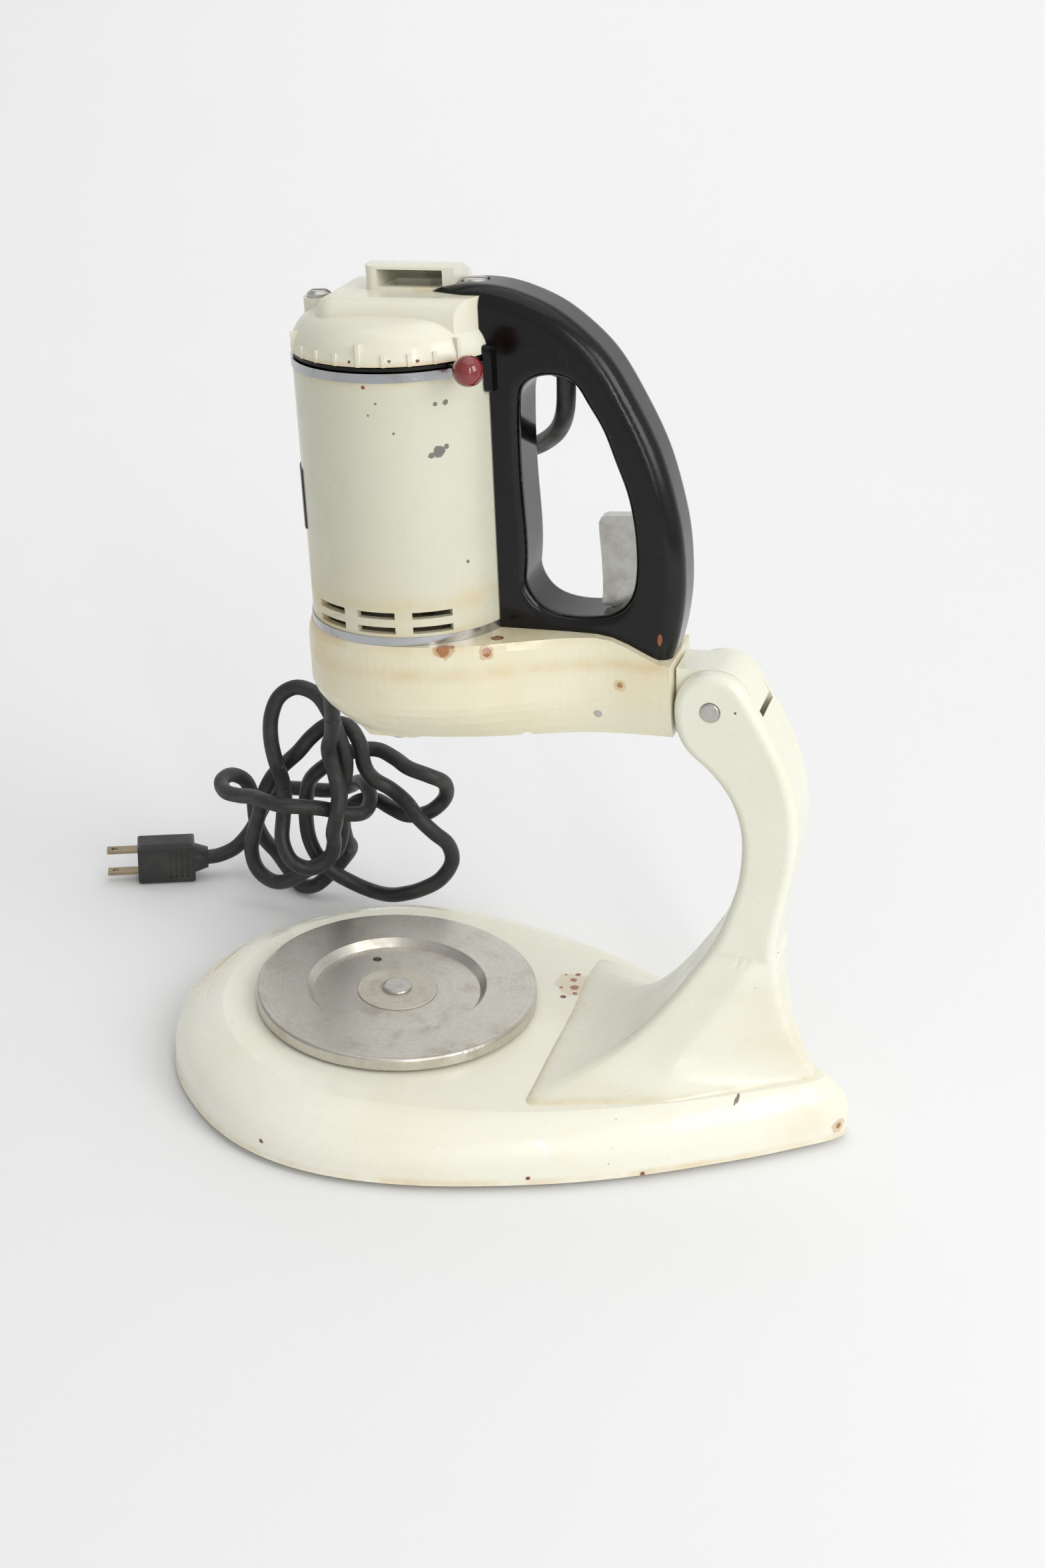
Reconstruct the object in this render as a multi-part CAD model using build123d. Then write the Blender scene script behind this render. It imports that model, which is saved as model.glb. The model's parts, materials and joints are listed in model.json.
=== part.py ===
from build123d import *
import math
import os

# Stand food mixer: an upright motor head with a loop handle, tilting on a curved column over a
# rounded base with a bowl turntable. Millimetres, +Z up, origin on the table under the turntable
# spindle. +X runs to the rear, towards the column, and -X to the nose; -Y is the near side.
# Head pieces are drawn level, then turned nose-down about the column pin.

os.makedirs("parts", exist_ok=True)

# ---------------------------------------------------------------- driving dimensions
RUN = 0.05                      # radial running clearance
DECK_Z = 30.0                   # top of the base
SPINDLE_R = 5.0                 # turntable spindle
FEET_AT = [(-62, -62), (-62, 62), (118, -52), (118, 52)]
BOLTS_AT = [(95, -42), (95, 42), (165, 0)]      # column bolts

COLUMN_HALF_W = 18.0
PIN_X, PIN_Z = 139.5, 203.5     # hinge pin
PIN_R = 4.0
TONGUE_HALF_W = 11.0
HEAD_TILT = 4.368               # degrees nose-down at rest

MOTOR_X = 9.3
MOTOR_R = 44.0
CASE_BOTTOM_Z, CASE_SEAM_Z, CASE_TOP_Z = 189.6, 221.8, 233.6
LOWER_BAND_Z0, LOWER_BAND_Z1 = 233.7, 237.2
UPPER_BAND_Z0, UPPER_BAND_Z1 = 342.1, 345.7
BAND_INNER_R = 41.0
HOUSING_R, HOUSING_WALL = 43.6, 3.0
CAP_R, CAP_Z = 43.8, 348.2      # rim of the end cap
TIE_FRONT_X, TIE_REAR_X = -24.0, 42.9           # tie studs through the motor
TIES_X = (TIE_FRONT_X, TIE_REAR_X)
CORD_R = 3.9
CORD_X = 78.5                   # where the cord enters the handle


# ---------------------------------------------------------------- helpers
def tilted(part):
    """Turn a part from the level head frame to its resting pose."""
    return part.rotate(Axis((PIN_X, 0, PIN_Z), (0, 1, 0)), -HEAD_TILT)


def rod(radius, z0, z1, x=0.0, y=0.0):
    return Pos(x, y, (z0 + z1) / 2) * Cylinder(radius, z1 - z0)


def ring(outer_r, inner_r, z0, z1, x=0.0, y=0.0):
    return rod(outer_r, z0, z1, x, y) - rod(inner_r, z0 - 1, z1 + 1, x, y)


def block(x0, x1, y0, y1, z0, z1):
    return Pos((x0 + x1) / 2, (y0 + y1) / 2, (z0 + z1) / 2) * Box(x1 - x0, y1 - y0, z1 - z0)


def cross_rod(radius, half_length, x, z):
    """Cylinder along Y, centred on y=0."""
    return Pos(x, 0, z) * Rot(90, 0, 0) * Cylinder(radius, 2 * half_length)


def hex_socket(x, y, z, depth):
    return extrude(Pos(x, y, z) * RegularPolygon(2.6, 6), amount=depth)


def prism(points, z0, z1, x=0.0):
    """Upright prism on a polygon drawn in plan about (x, 0)."""
    return extrude(Pos(x, 0, z0) * make_face(Polyline(*points, close=True)), amount=z1 - z0)


def xz_prism(edges, half_width):
    """Prism of a side view drawn in X and Z, centred on y=0."""
    plane = Plane(origin=(0, -half_width, 0), x_dir=(1, 0, 0), z_dir=(0, -1, 0))
    return extrude(plane * make_face(edges), amount=2 * half_width, dir=(0, 1, 0))


def yz_prism(points, x0, x1):
    """Prism of a polygon drawn in Y and Z, from x0 to x1."""
    face = Plane.YZ.offset(x0) * make_face(Polyline(*points, close=True))
    return extrude(face, amount=x1 - x0)


def add_lines(edges, *points):
    """Add straight lines through the points to a run of edges."""
    for start, end in zip(points, points[1:]):
        edges += Line(start, end)
    return edges


def closed_spline(points, z):
    """Face inside a smooth closed curve at height z."""
    return Pos(0, 0, z) * make_face(Spline(*points, periodic=True))


def mirrored(half):
    """Half outline from nose to tail made whole: near side, then far side."""
    return [(x, -y) for x, y in half] + [(x, y) for x, y in reversed(half[1:-1])]


def blended(first, second, blend):
    """Outline part of the way from the first to the second."""
    return [(x0 * (1 - blend) + x1 * blend, y0 * (1 - blend) + y1 * blend)
            for (x0, y0), (x1, y1) in zip(first, second)]


def try_fillet(part, edges, radii):
    """Fillet with the first radius that gives a valid solid, or leave the part as it is."""
    for radius in radii:
        # The kernel raises an error when a radius does not fit; the next one is then tried.
        try:
            rounded = fillet(edges, radius)
            if rounded.is_valid and rounded.volume > 0:
                return rounded
        except Exception:
            pass
    return part


def about_motor(angle):
    """Location on the motor axis with X turned to the angle."""
    return Pos(MOTOR_X, 0, 0) * Rot(0, 0, angle)


# ---------------------------------------------------------------- base
# half outlines (x, y) from nose to tail, at the foot of the shell and at the deck
BASE_LOW = [
    (-102.5, 0), (-100.8, 18.5), (-95.3, 38), (-86, 56.5), (-72, 73.5), (-53.8, 89.3),
    (-29.5, 101.6), (0, 106.6), (26, 104.6), (48.4, 99.6), (80.5, 88.4), (101.7, 79.4),
    (122.4, 68.8), (143, 56.4), (163.6, 42.6), (184.3, 27.8), (198, 17.0), (208.3, 8.0),
    (212.5, 0)]
BASE_TOP = [
    (-80.5, 0), (-79, 15), (-74.5, 30), (-67, 44.5), (-56, 58), (-41.5, 70.5), (-22.5, 80.6),
    (0, 85.3), (24, 84.2), (47, 80.2), (76, 72.8), (97, 65.0), (117.5, 55.4), (138, 44.6),
    (157.5, 32.9), (176, 20.8), (188, 12.4), (196.5, 5.9), (200, 0)]
# z, blend from low to top outline
SHELL_STEPS = [(3.5, 0.0), (11.5, 0.015), (17.5, 0.08), (22.0, 0.25), (25.6, 0.50),
               (28.4, 0.78), (DECK_Z, 1.0)]
HOLLOW_STEPS = [(0.5, 0.0), (10.0, 0.03), (15.5, 0.12), (19.5, 0.30), (22.6, 0.54),
                (25.0, 0.80), (26.6, 1.0)]
# z, blend, half angle in degrees
NOSE_GROOVES = [(26.9, 0.62, 17.0), (24.3, 0.40, 13.5), (21.4, 0.22, 10.0)]
BOLT_TOPS = (31.6, 31.6, 40.5)
BOLT_HOLE_TOPS = (32.2, 32.2, 42.0)
BOLT_HEAD_Z0, BOLT_HEAD_Z1 = 7.8, 11.9


def base_section(z, blend, scale_x=1.0, scale_y=1.0):
    half = [(x * scale_x, y * scale_y) for x, y in blended(BASE_LOW, BASE_TOP, blend)]
    return closed_spline(mirrored(half), z)


def base_shell():
    shell = loft([base_section(z, blend) for z, blend in SHELL_STEPS])
    shell -= loft([base_section(z, blend, 0.962, 0.957) for z, blend in HOLLOW_STEPS])
    shell += rod(13, 9, 28)
    for x, y in BOLTS_AT:
        shell += rod(9, 12, 28, x, y)
    shell -= rod(SPINDLE_R + RUN, 0, 40)
    for x, y in BOLTS_AT:
        shell -= rod(3.1, 0, 40, x, y)
    for x, y in FEET_AT:
        shell += rod(8, 6, 21 if x < 0 else 24, x, y)
        shell -= rod(2.6, 0, 18, x, y)
    for z, blend, half_angle in NOSE_GROOVES:
        radius = -BASE_LOW[0][0] * (1 - blend) - BASE_TOP[0][0] * blend + 0.15
        groove = Pos(0, 0, z) * Torus(radius, 0.75)
        reach_x = -130 * math.cos(math.radians(half_angle))
        reach_y = 130 * math.sin(math.radians(half_angle))
        wedge = prism([(0, 0), (reach_x, -reach_y), (-135, 0), (reach_x, reach_y)], 0, 60)
        shell -= groove & wedge
    return shell


def base_plate():
    plate = extrude(base_section(3.7, 0.0, 0.940, 0.930), amount=1.6)
    for x, y in FEET_AT:
        plate -= rod(8.3, 0, 10, x, y)
    for x, y in BOLTS_AT:
        plate -= rod(7.0, 0, 10, x, y)
    return plate - rod(13.5, 0, 10)


def rubber_feet():
    return [rod(9.0, 0, 3.4, x, y) + rod(7.0, 3.4, 5.9, x, y) + rod(2.5, 5.9, 15.0, x, y)
            for x, y in FEET_AT]


def column_bolts():
    bolts = []
    for (x, y), top in zip(BOLTS_AT, BOLT_TOPS):
        bolt = rod(5.2, BOLT_HEAD_Z0, BOLT_HEAD_Z1, x, y) + rod(3.0, BOLT_HEAD_Z1, top, x, y)
        bolts.append(bolt - hex_socket(x, y, BOLT_HEAD_Z0, 2.2))
    return bolts


# ---------------------------------------------------------------- turntable
TURNTABLE_R = 65.0
TURNTABLE_BOTTOM_Z, TURNTABLE_TOP_Z = 31.3, 37.5
RECESS_FLOOR_R, RECESS_TOP_R = 38.6, 41.8
RECESS_FLOOR_Z = TURNTABLE_TOP_Z - 3.7
HUB_DISC_R = 18.4
HUB_DISC_BOTTOM_Z = RECESS_FLOOR_Z - 0.5
HUB_DISC_TOP_Z = RECESS_FLOOR_Z + 0.7


def turntable():
    table = rod(TURNTABLE_R, TURNTABLE_BOTTOM_Z, TURNTABLE_TOP_Z)
    table = fillet(table.edges().group_by(Axis.Z)[-1], 1.6)
    table = fillet(table.edges().group_by(Axis.Z)[0], 0.8)
    recess_top = TURNTABLE_TOP_Z + 0.4
    table -= Pos(0, 0, (RECESS_FLOOR_Z + recess_top) / 2) * Cone(
        RECESS_FLOOR_R, RECESS_TOP_R, recess_top - RECESS_FLOOR_Z)
    table -= rod(SPINDLE_R, 30, 40)
    table -= rod(HUB_DISC_R + 0.3, HUB_DISC_BOTTOM_Z, RECESS_FLOOR_Z + 1)
    return table - rod(2.1, 30, 40, -17.9, 22.4)


def turntable_disc():
    disc = ring(HUB_DISC_R, SPINDLE_R, HUB_DISC_BOTTOM_Z, HUB_DISC_TOP_Z)
    top_edges = disc.edges().filter_by(GeomType.CIRCLE).group_by(Axis.Z)[-1]
    return fillet(top_edges.sort_by(SortBy.RADIUS)[-1:], 0.5)


def turntable_spindle():
    spindle = rod(SPINDLE_R, 5.2, HUB_DISC_TOP_Z) + rod(6.9, HUB_DISC_TOP_Z, RECESS_FLOOR_Z + 2.6)
    spindle = fillet(spindle.edges().group_by(Axis.Z)[-1], 1.2)
    return spindle - ring(SPINDLE_R + 1, SPINDLE_R - 0.8, 7.0, 8.1)


def spindle_clip():
    return ring(7.6, SPINDLE_R - 0.75, 7.1, 8.0) - block(0, 12, -1.6, 1.6, 5, 10)


def thrust_washer():
    return ring(19, SPINDLE_R + 0.6, DECK_Z, 31.2)


# ---------------------------------------------------------------- column with foot and fork
# z, then (x, half width) of the front corner, side crease and tail corner
FOOT_ROWS = [
    (30.0, (80.2, 66.9), (138.4, 43.7), (196.5, 3.2)),
    (31.4, (83.8, 61.0), (137.5, 42.0), (195.5, 3.4)),
    (33.4, (92.0, 50.0), (136.5, 38.5), (194.2, 3.8)),
    (36.8, (101.0, 39.8), (136.8, 33.5), (192.2, 4.5)),
    (42.5, (111.0, 30.8), (139.8, 27.6), (188.8, 5.6)),
    (52.0, (120.6, 25.2), (146.0, 23.6), (184.4, 7.2)),
    (62.0, (128.3, 22.0), (151.6, 21.0), (180.8, 9.0)),
    (74.5, (136.4, 19.8), (158.5, 19.3), (177.6, 11.4)),
    (84.0, (142.0, 18.6), (163.3, 18.6), (176.0, 13.2)),
    (94.0, (147.3, 18.0), (167.5, 18.0), (175.0, 14.6)),
]
FOOT_RADII = [4.0, 9.0, 3.0, 3.0, 9.0, 4.0]
# side view (x, z): up the front, over the fork and down the rear
COLUMN_SIDE = [
    (146.8, 93.0), (149.5, 98.7), (153.7, 113.0), (155.8, 121.7), (156.9, 129.7), (157.1, 138.4),
    (156.3, 148.5), (154.2, 156.4), (150.6, 164.3), (145.0, 171.7), (138.2, 178.0),
    (132.2, 182.6), (128.2, 187.4), (125.5, 193.5), (124.1, 201.0), (124.8, 208.5),
    (128.0, 214.3), (133.3, 218.2), (139.5, 219.4), (145.0, 218.8), (150.0, 216.3),
    (154.7, 210.8), (159.3, 203.9), (164.9, 195.0), (170.6, 185.0), (174.8, 175.4),
    (177.8, 165.6), (179.4, 156.3), (179.9, 147.0), (179.5, 137.5), (178.4, 128.0),
    (176.9, 117.5), (175.7, 107.0), (175.2, 93.0)]
FORK_R = 20.9
FORK_HALF_GAP = TONGUE_HALF_W + 0.2


def rounded_polygon(corners, radii):
    """Points round a polygon with rounded corners: 5 on each arc and 2 on each side."""
    corners = [Vector(x, y) for x, y in corners]
    count = len(corners)
    arcs = []
    for i, corner in enumerate(corners):
        back, ahead = corners[i - 1] - corner, corners[(i + 1) % count] - corner
        limit = 0.42 * min(back.length, ahead.length)
        back, ahead = back.normalized(), ahead.normalized()
        half_angle = math.acos(back.dot(ahead)) / 2
        setback = min(radii[i] / math.tan(half_angle), limit)
        radius = setback * math.tan(half_angle)
        centre = corner + (back + ahead).normalized() * (setback / math.cos(half_angle))
        start, end = corner + back * setback - centre, corner + ahead * setback - centre
        start_angle = math.atan2(start.Y, start.X)
        turn = math.atan2(end.Y, end.X) - start_angle
        turn = (turn + math.pi) % (2 * math.pi) - math.pi
        angles = [start_angle + turn * k / 4 for k in range(5)]
        arcs.append([centre + Vector(radius * math.cos(a), radius * math.sin(a)) for a in angles])
    points = []
    for i, arc in enumerate(arcs):
        side = arcs[(i + 1) % count][0] - arc[-1]
        points += arc + [arc[-1] + side * (k / 3) for k in (1, 2)]
    return points


def column():
    sections = []
    for z, *far_corners in FOOT_ROWS:
        corners = [(x, -y) for x, y in far_corners] + far_corners[::-1]
        sections.append(closed_spline(rounded_polygon(corners, FOOT_RADII), z))
    foot = loft(sections)
    profile = Curve() + Spline(*COLUMN_SIDE) + Line(COLUMN_SIDE[-1], COLUMN_SIDE[0])
    upper = xz_prism(profile, COLUMN_HALF_W)
    side_edges = [e for e in upper.edges()
                  if abs(abs(e.center().Y) - COLUMN_HALF_W) < 0.01 and e.length > 60]
    upper = try_fillet(upper, side_edges, (4.0, 3.0, 2.0))
    body = upper + foot
    body -= cross_rod(FORK_R, FORK_HALF_GAP, PIN_X, PIN_Z)
    body -= block(155, 170, -FORK_HALF_GAP, FORK_HALF_GAP, 202.0, 222)
    body -= cross_rod(PIN_R + RUN, 30, PIN_X, PIN_Z)
    for side in (-1, 1):
        countersink = Rot(-90 * side, 0, 0) * Cone(PIN_R, PIN_R + 0.7, 0.7)
        body -= Pos(PIN_X, side * (COLUMN_HALF_W - 0.3), PIN_Z) * countersink
    for (x, y), top in zip(BOLTS_AT, BOLT_HOLE_TOPS):
        body -= rod(3.05, 0, top, x, y)
    return body


def hinge_pin():
    pin = Pos(0, -0.4, 0) * cross_rod(PIN_R, COLUMN_HALF_W, PIN_X, PIN_Z)
    pin = fillet(pin.edges().filter_by(GeomType.CIRCLE), 0.6)
    end_step = ring(PIN_R + 1, PIN_R - 0.6, -0.5, 0.5).rotate(Axis.X, 90)
    return pin - end_step.translate((PIN_X, COLUMN_HALF_W, PIN_Z))


# ---------------------------------------------------------------- tilting bracket
# side view (x, z) of the tongue: over the top to the rear, then back underneath
TONGUE_TOP = [(141.0, 219.5), (145.6, 218.8), (150.2, 216.2), (154.8, 210.4), (158.7, 202.9)]
TONGUE_UNDER = [(156.6, 200.2), (152.4, 194.8), (146.5, 190.9), (139.5, 189.6), (130.0, 189.4),
                (124.2, 190.6)]
BAR_FRONT_X, BAR_REAR_X = 98.0, 130.0
BAR_HALF_W = 8.0
BAR_Z0, BAR_Z1 = 198.0, 214.0
BAR_FIT = 0.15                  # clearance round the bar
LATCH_X = 104.0


def tilt_bracket():
    edges = add_lines(Curve(), TONGUE_UNDER[-1], (124.2, 219.2), TONGUE_TOP[0])
    edges += Spline(*TONGUE_TOP)
    edges += Line(TONGUE_TOP[-1], TONGUE_UNDER[0])
    edges += Spline(*TONGUE_UNDER)
    bracket = xz_prism(edges, TONGUE_HALF_W)
    bracket -= cross_rod(PIN_R + RUN, 30, PIN_X, PIN_Z)
    bar = block(BAR_FRONT_X, BAR_REAR_X, -BAR_HALF_W, BAR_HALF_W, BAR_Z0, BAR_Z1)
    bar = try_fillet(bar, bar.edges().filter_by(Axis.X), (1.5, 1.0))
    bracket += bar
    return bracket - rod(3.0, 210.5, 215, LATCH_X)


# ---------------------------------------------------------------- gear case
# half outlines (x, y) from nose to tail, at the seam and at the bottom
CASE_PLAN = [(-36.7, 0), (-33.2, 18.6), (-20.0, 35.6), (0.0, 45.0), (22.0, 45.8), (43.5, 40.4),
             (62.0, 31.6), (80.5, 23.3), (97.0, 18.9), (118.0, 18.6), (142.0, 18.6), (152, 0)]
CASE_FOOT_PLAN = [(-24.0, 0), (-21.6, 12.6), (-12.0, 24.8), (2.0, 31.6), (22.0, 32.6),
                  (43.0, 28.8), (61.0, 23.2), (80.0, 17.0), (97.0, 14.0), (118.0, 13.6),
                  (142.0, 13.6), (149, 0)]
# z, blend from seam to bottom outline
LOWER_CASE_STEPS = [(CASE_SEAM_Z, 0.0), (207.0, 0.0), (203.4, 0.10), (198.6, 0.34),
                    (193.8, 0.66), (CASE_BOTTOM_Z, 1.0)]
UPPER_CASE_STEPS = [(CASE_SEAM_Z, 0.0), (226.5, 0.006), (230.2, 0.04), (232.6, 0.10),
                    (CASE_TOP_Z + 0.2, 0.15)]
# fall of the case top towards the rear (x, z)
TOP_SLOPE = [(80.0, CASE_TOP_Z), (92.0, 233.3), (98.5, 232.2), (105.0, 229.6), (111.5, 226.3),
             (117.5, 223.4), (124.0, 222.3)]
# side view (x, z) of the snout under the nose
SNOUT = [(-16.5, 203.0), (-14.0, 191.0), (-11.0, 186.6), (-7.0, 184.0), (12.0, 184.0),
         (50.0, 193.2), (50.0, 203.0)]
HEAD_REAR_X = 123.2
GEAR_BAY_R = 41.2
CASE_SCREWS_AT = [(62, -20), (62, 20)]
CASE_PIN_X, CASE_PIN_Z = 92.4, 199.6
SPINDLE_X, SPINDLE_Y = 4.0, 15.0        # beater spindles, at +Y and -Y
BUSHING_R = 6.5
IDLER_X, IDLER_Y = 25.0065, -14.8360
AXLE_R = 3.0                            # idler axle


def case_section(z, blend):
    """Case outline at height z: a smooth curve drawn with six short flats per span."""
    outline = mirrored(blended(CASE_PLAN, CASE_FOOT_PLAN, blend))
    count = len(outline)
    points = []
    for i in range(count):
        span = [outline[(i + k) % count] for k in (-1, 0, 1, 2)]
        for step in range(6):
            t = step / 6
            points.append(tuple(
                0.5 * (2 * p1 + (p2 - p0) * t + (2 * p0 - 5 * p1 + 4 * p2 - p3) * t * t
                       + (3 * p1 - p0 - 3 * p2 + p3) * t ** 3)
                for p0, p1, p2, p3 in zip(*span)))
    return Pos(0, 0, z) * make_face(Polyline(*points, close=True))


def case_body(steps):
    return loft([case_section(z, blend) for z, blend in steps], ruled=True)


def case_rear_cut():
    return block(HEAD_REAR_X, 200, -60, 60, 150, 260)


def gearcase_lower():
    case = case_body(LOWER_CASE_STEPS)
    case -= case_rear_cut()
    snout_plan = block(-17.0, 52.0, -23.0, 23.0, 180, 204)
    snout_plan = fillet(snout_plan.edges().filter_by(Axis.Z), 12.0)
    case += xz_prism(Polyline(*SNOUT, close=True), 30) & snout_plan
    case -= rod(GEAR_BAY_R, 207.0, 240, MOTOR_X)
    case -= rod(29.5, 198.5, 240, MOTOR_X)
    half_slot = BAR_HALF_W + BAR_FIT
    case -= block(BAR_FRONT_X - 0.5, BAR_REAR_X, -half_slot, half_slot,
                  BAR_Z0 - BAR_FIT, BAR_Z1 + BAR_FIT)
    case -= rod(2.4, 214.0, 230, LATCH_X)
    for side in (-1, 1):
        case -= rod(BUSHING_R, 150, 205, SPINDLE_X, side * SPINDLE_Y)
    case -= rod(AXLE_R, 190.5, 230, IDLER_X, IDLER_Y)
    for x, y in CASE_SCREWS_AT:
        case -= rod(2.05, 150, 260, x, y)
        case -= rod(3.7, 150, 200, x, y)
    return case - cross_rod(1.8, 40, CASE_PIN_X, CASE_PIN_Z)


def gearcase_upper():
    above = xz_prism(Polyline((-60, 262), (-60, CASE_TOP_Z), *TOP_SLOPE, (150, 222.3), (150, 262),
                              close=True), 70)
    case = case_body(UPPER_CASE_STEPS)
    case -= above
    case -= case_rear_cut()
    case -= rod(GEAR_BAY_R, 220, 228.6, MOTOR_X)
    case -= rod(8.0, 220, 240, MOTOR_X)
    for x in TIES_X:
        case -= rod(1.6, 220, 240, x)
    case -= rod(2.4, 214.0, 240, LATCH_X)
    for x, y in CASE_SCREWS_AT:
        case -= rod(1.5, 215, 230.5, x, y)
    case += rod(5.0, 226.8, 229.0, IDLER_X, IDLER_Y)
    return case - rod(AXLE_R, 220, 229.0, IDLER_X, IDLER_Y)


def case_screws():
    screws = []
    for x, y in CASE_SCREWS_AT:
        screw = rod(3.4, 197.4, 199.9, x, y) + rod(1.95, 199.9, CASE_SEAM_Z, x, y)
        screw += rod(1.45, CASE_SEAM_Z, 229.8, x, y)
        screws.append(screw - block(x - 4, x + 4, y - 0.5, y + 0.5, 190, 198.4))
    return screws


def case_cross_pin():
    return cross_rod(1.75, 17.5, CASE_PIN_X, CASE_PIN_Z)


# ---------------------------------------------------------------- motor shell
VENT_ANGLES = (61.6, 93.0, 123.3)       # degrees either side of +X
VENT_ROWS_Z = (244.8, 238.6)
VENT_HEIGHT = 2.9
VENT_HALF_ANGLE = 11
BADGE_HALF_ANGLE = 31


def lower_trim_band():
    return ring(MOTOR_R + 0.2, BAND_INNER_R, LOWER_BAND_Z0, LOWER_BAND_Z1, MOTOR_X)


def upper_trim_band():
    return ring(MOTOR_R + 0.2, BAND_INNER_R, UPPER_BAND_Z0, UPPER_BAND_Z1, MOTOR_X)


def motor_housing():
    housing = ring(HOUSING_R, HOUSING_R - HOUSING_WALL, LOWER_BAND_Z1, UPPER_BAND_Z0, MOTOR_X)
    for side in (-1, 1):
        for middle in VENT_ANGLES:
            # radius, angle of the wedge corners
            corners = [(radius, math.radians(side * middle + offset * VENT_HALF_ANGLE))
                       for radius, offset in ((30, -1), (50, -1), (52, 0), (50, 1), (30, 1))]
            points = [(r * math.cos(angle), r * math.sin(angle)) for r, angle in corners]
            for z in VENT_ROWS_Z:
                housing -= prism(points, z, z + VENT_HEIGHT, MOTOR_X)
    return housing


def badge_plate():
    reach_x = -70 * math.cos(math.radians(BADGE_HALF_ANGLE))
    reach_y = 70 * math.sin(math.radians(BADGE_HALF_ANGLE))
    wedge = prism([(0, 0), (reach_x, -reach_y), (-80, 0), (reach_x, reach_y)], 270, 310, MOTOR_X)
    return ring(HOUSING_R + 0.7, HOUSING_R, 274.5, 299.5, MOTOR_X) & wedge


# ---------------------------------------------------------------- end cap
# radius, z from the top to the rim, outside and inside
DOME = [(0, 364.4), (20, 364.2), (30, 363.4), (35.5, 361.9), (39.2, 359.2), (41.6, 356.2),
        (43.1, 353.0), (CAP_R, CAP_Z)]
INNER_DOME = [(0, 361.0), (20, 360.8), (28, 360.2), (33.5, 358.8), (37.0, 356.2), (39.2, 353.4),
              (40.4, 350.4), (40.8, 347.5)]
# section (y, z) of the scoop on top and of its hollow
SCOOP = [(-6.5, 366), (-6.5, 379.2), (-3, 379.9), (5, 379.2), (13, 375.6), (20, 370.2), (22, 366)]
SCOOP_HOLLOW = [(-9, 371.3), (-9, 377.9), (-3, 378.3), (4.6, 377.6), (12, 374.4), (16.5, 371.3)]
# tick ribs round the rim, far end of the row first: every fourth is long
TICK_FIRST_ANGLE, TICK_PITCH, TICK_COUNT = -39.0, 13.3, 9
TICK_LONG, TICK_SHORT = 8.6, 4.8
SCREW_SEAT_Z = 365.75                   # under the front cap screw head


def domed(outline, *corners):
    """Turned solid on the motor axis: dome outline, closed by lines through the corners."""
    edges = Curve() + Spline(*outline, tangents=((1, 0), (0, -1)))
    edges = add_lines(edges, outline[-1], *corners, outline[0])
    return Pos(MOTOR_X, 0, 0) * revolve(Plane.XZ * make_face(edges), Axis.Z)


def end_cap():
    hump = block(-18.6, 55.0, -25.5, 25.5, 352.0, 370.0)
    hump = try_fillet(hump, hump.edges().filter_by(Axis.Z).sort_by(Axis.X)[:2], (9.0, 6.0))
    hump = try_fillet(hump, hump.edges().group_by(Axis.Z)[-1], (7.0, 5.0, 3.0))
    hump = hump & rod(CAP_R - 3.0, 340, 380, MOTOR_X)
    boss = rod(6.4, 352, 365.7, TIE_FRONT_X) + block(TIE_FRONT_X, -10, -6.4, 6.4, 352, 365.7)
    scoop = yz_prism(SCOOP, -2, 36)
    scoop = try_fillet(scoop, scoop.edges().filter_by(Axis.Z).sort_by(Axis.X)[:1], (4.0, 2.0))
    cap = domed(DOME, (0, CAP_Z)) + hump + boss + scoop
    inside = domed(INNER_DOME, (0, 347.5))
    posts = rod(6.0, 349.0, 366.0, TIE_FRONT_X) + rod(6.0, 349.0, 362.0, TIE_REAR_X)
    cap = cap - (inside - posts)
    cap -= block(-8, 34, -17, 17, 355, 367.2)
    cap -= yz_prism(SCOOP_HOLLOW, 3.7, 31.0)
    cap -= block(6, 28, -3.0, 10, 360, 372)
    for x in TIES_X:
        cap -= rod(2.8, 340, 380, x)
    for k in range(TICK_COUNT):
        height = TICK_SHORT if k % 4 else TICK_LONG
        tick = about_motor(TICK_FIRST_ANGLE - TICK_PITCH * k) * block(
            41.0, 44.35, -0.75, 0.75, CAP_Z, CAP_Z + height)
        cap += tick
        cap -= (tick & inside)
    return cap


def screw_slot(x, z0, z1):
    return block(x - 6, x + 6, -0.6, 0.6, z0, z1)


def cap_screw():
    screw = rod(5.0, SCREW_SEAT_Z, 367.0, TIE_FRONT_X)
    screw += Pos(TIE_FRONT_X, 0, 367.0) * Cone(
        5.0, 3.4, 1.1, align=(Align.CENTER, Align.CENTER, Align.MIN))
    screw -= screw_slot(TIE_FRONT_X, 366.9, 369)
    return screw + rod(2.5, 333.0, SCREW_SEAT_Z, TIE_FRONT_X)


# ---------------------------------------------------------------- handle
# side view (x, z): over the top from the front, and down the rear
HANDLE_TOP = [
    (24.4, 368.4), (27.7, 370.6), (33.4, 372.3), (39.0, 373.3), (48.6, 373.6), (57.4, 372.4),
    (66.1, 369.8), (76.8, 365.0), (87.4, 357.4), (97.9, 347.0), (108.3, 330.3), (118.6, 308.6),
    (123.9, 290.6), (126.7, 276.5), (127.9, 262.0), (127.9, 252.0), (126.5, 239.0),
    (122.9, 224.0)]
# side view (x, z) of the hand opening
OPENING = [
    (62.3, 256), (62.3, 290), (62.3, 326), (64.0, 334.0), (69.5, 338.0), (77.5, 338.9),
    (84.3, 336.6), (89.4, 329.4), (95.6, 318.6), (100.6, 305.4), (104.6, 294.4), (107.1, 283.4),
    (108.4, 270.0), (108.2, 258.5), (105.6, 248.5), (99.5, 242.3), (90.5, 239.9), (77.0, 240.0),
    (68.3, 243.4), (63.8, 249.0)]
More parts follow.
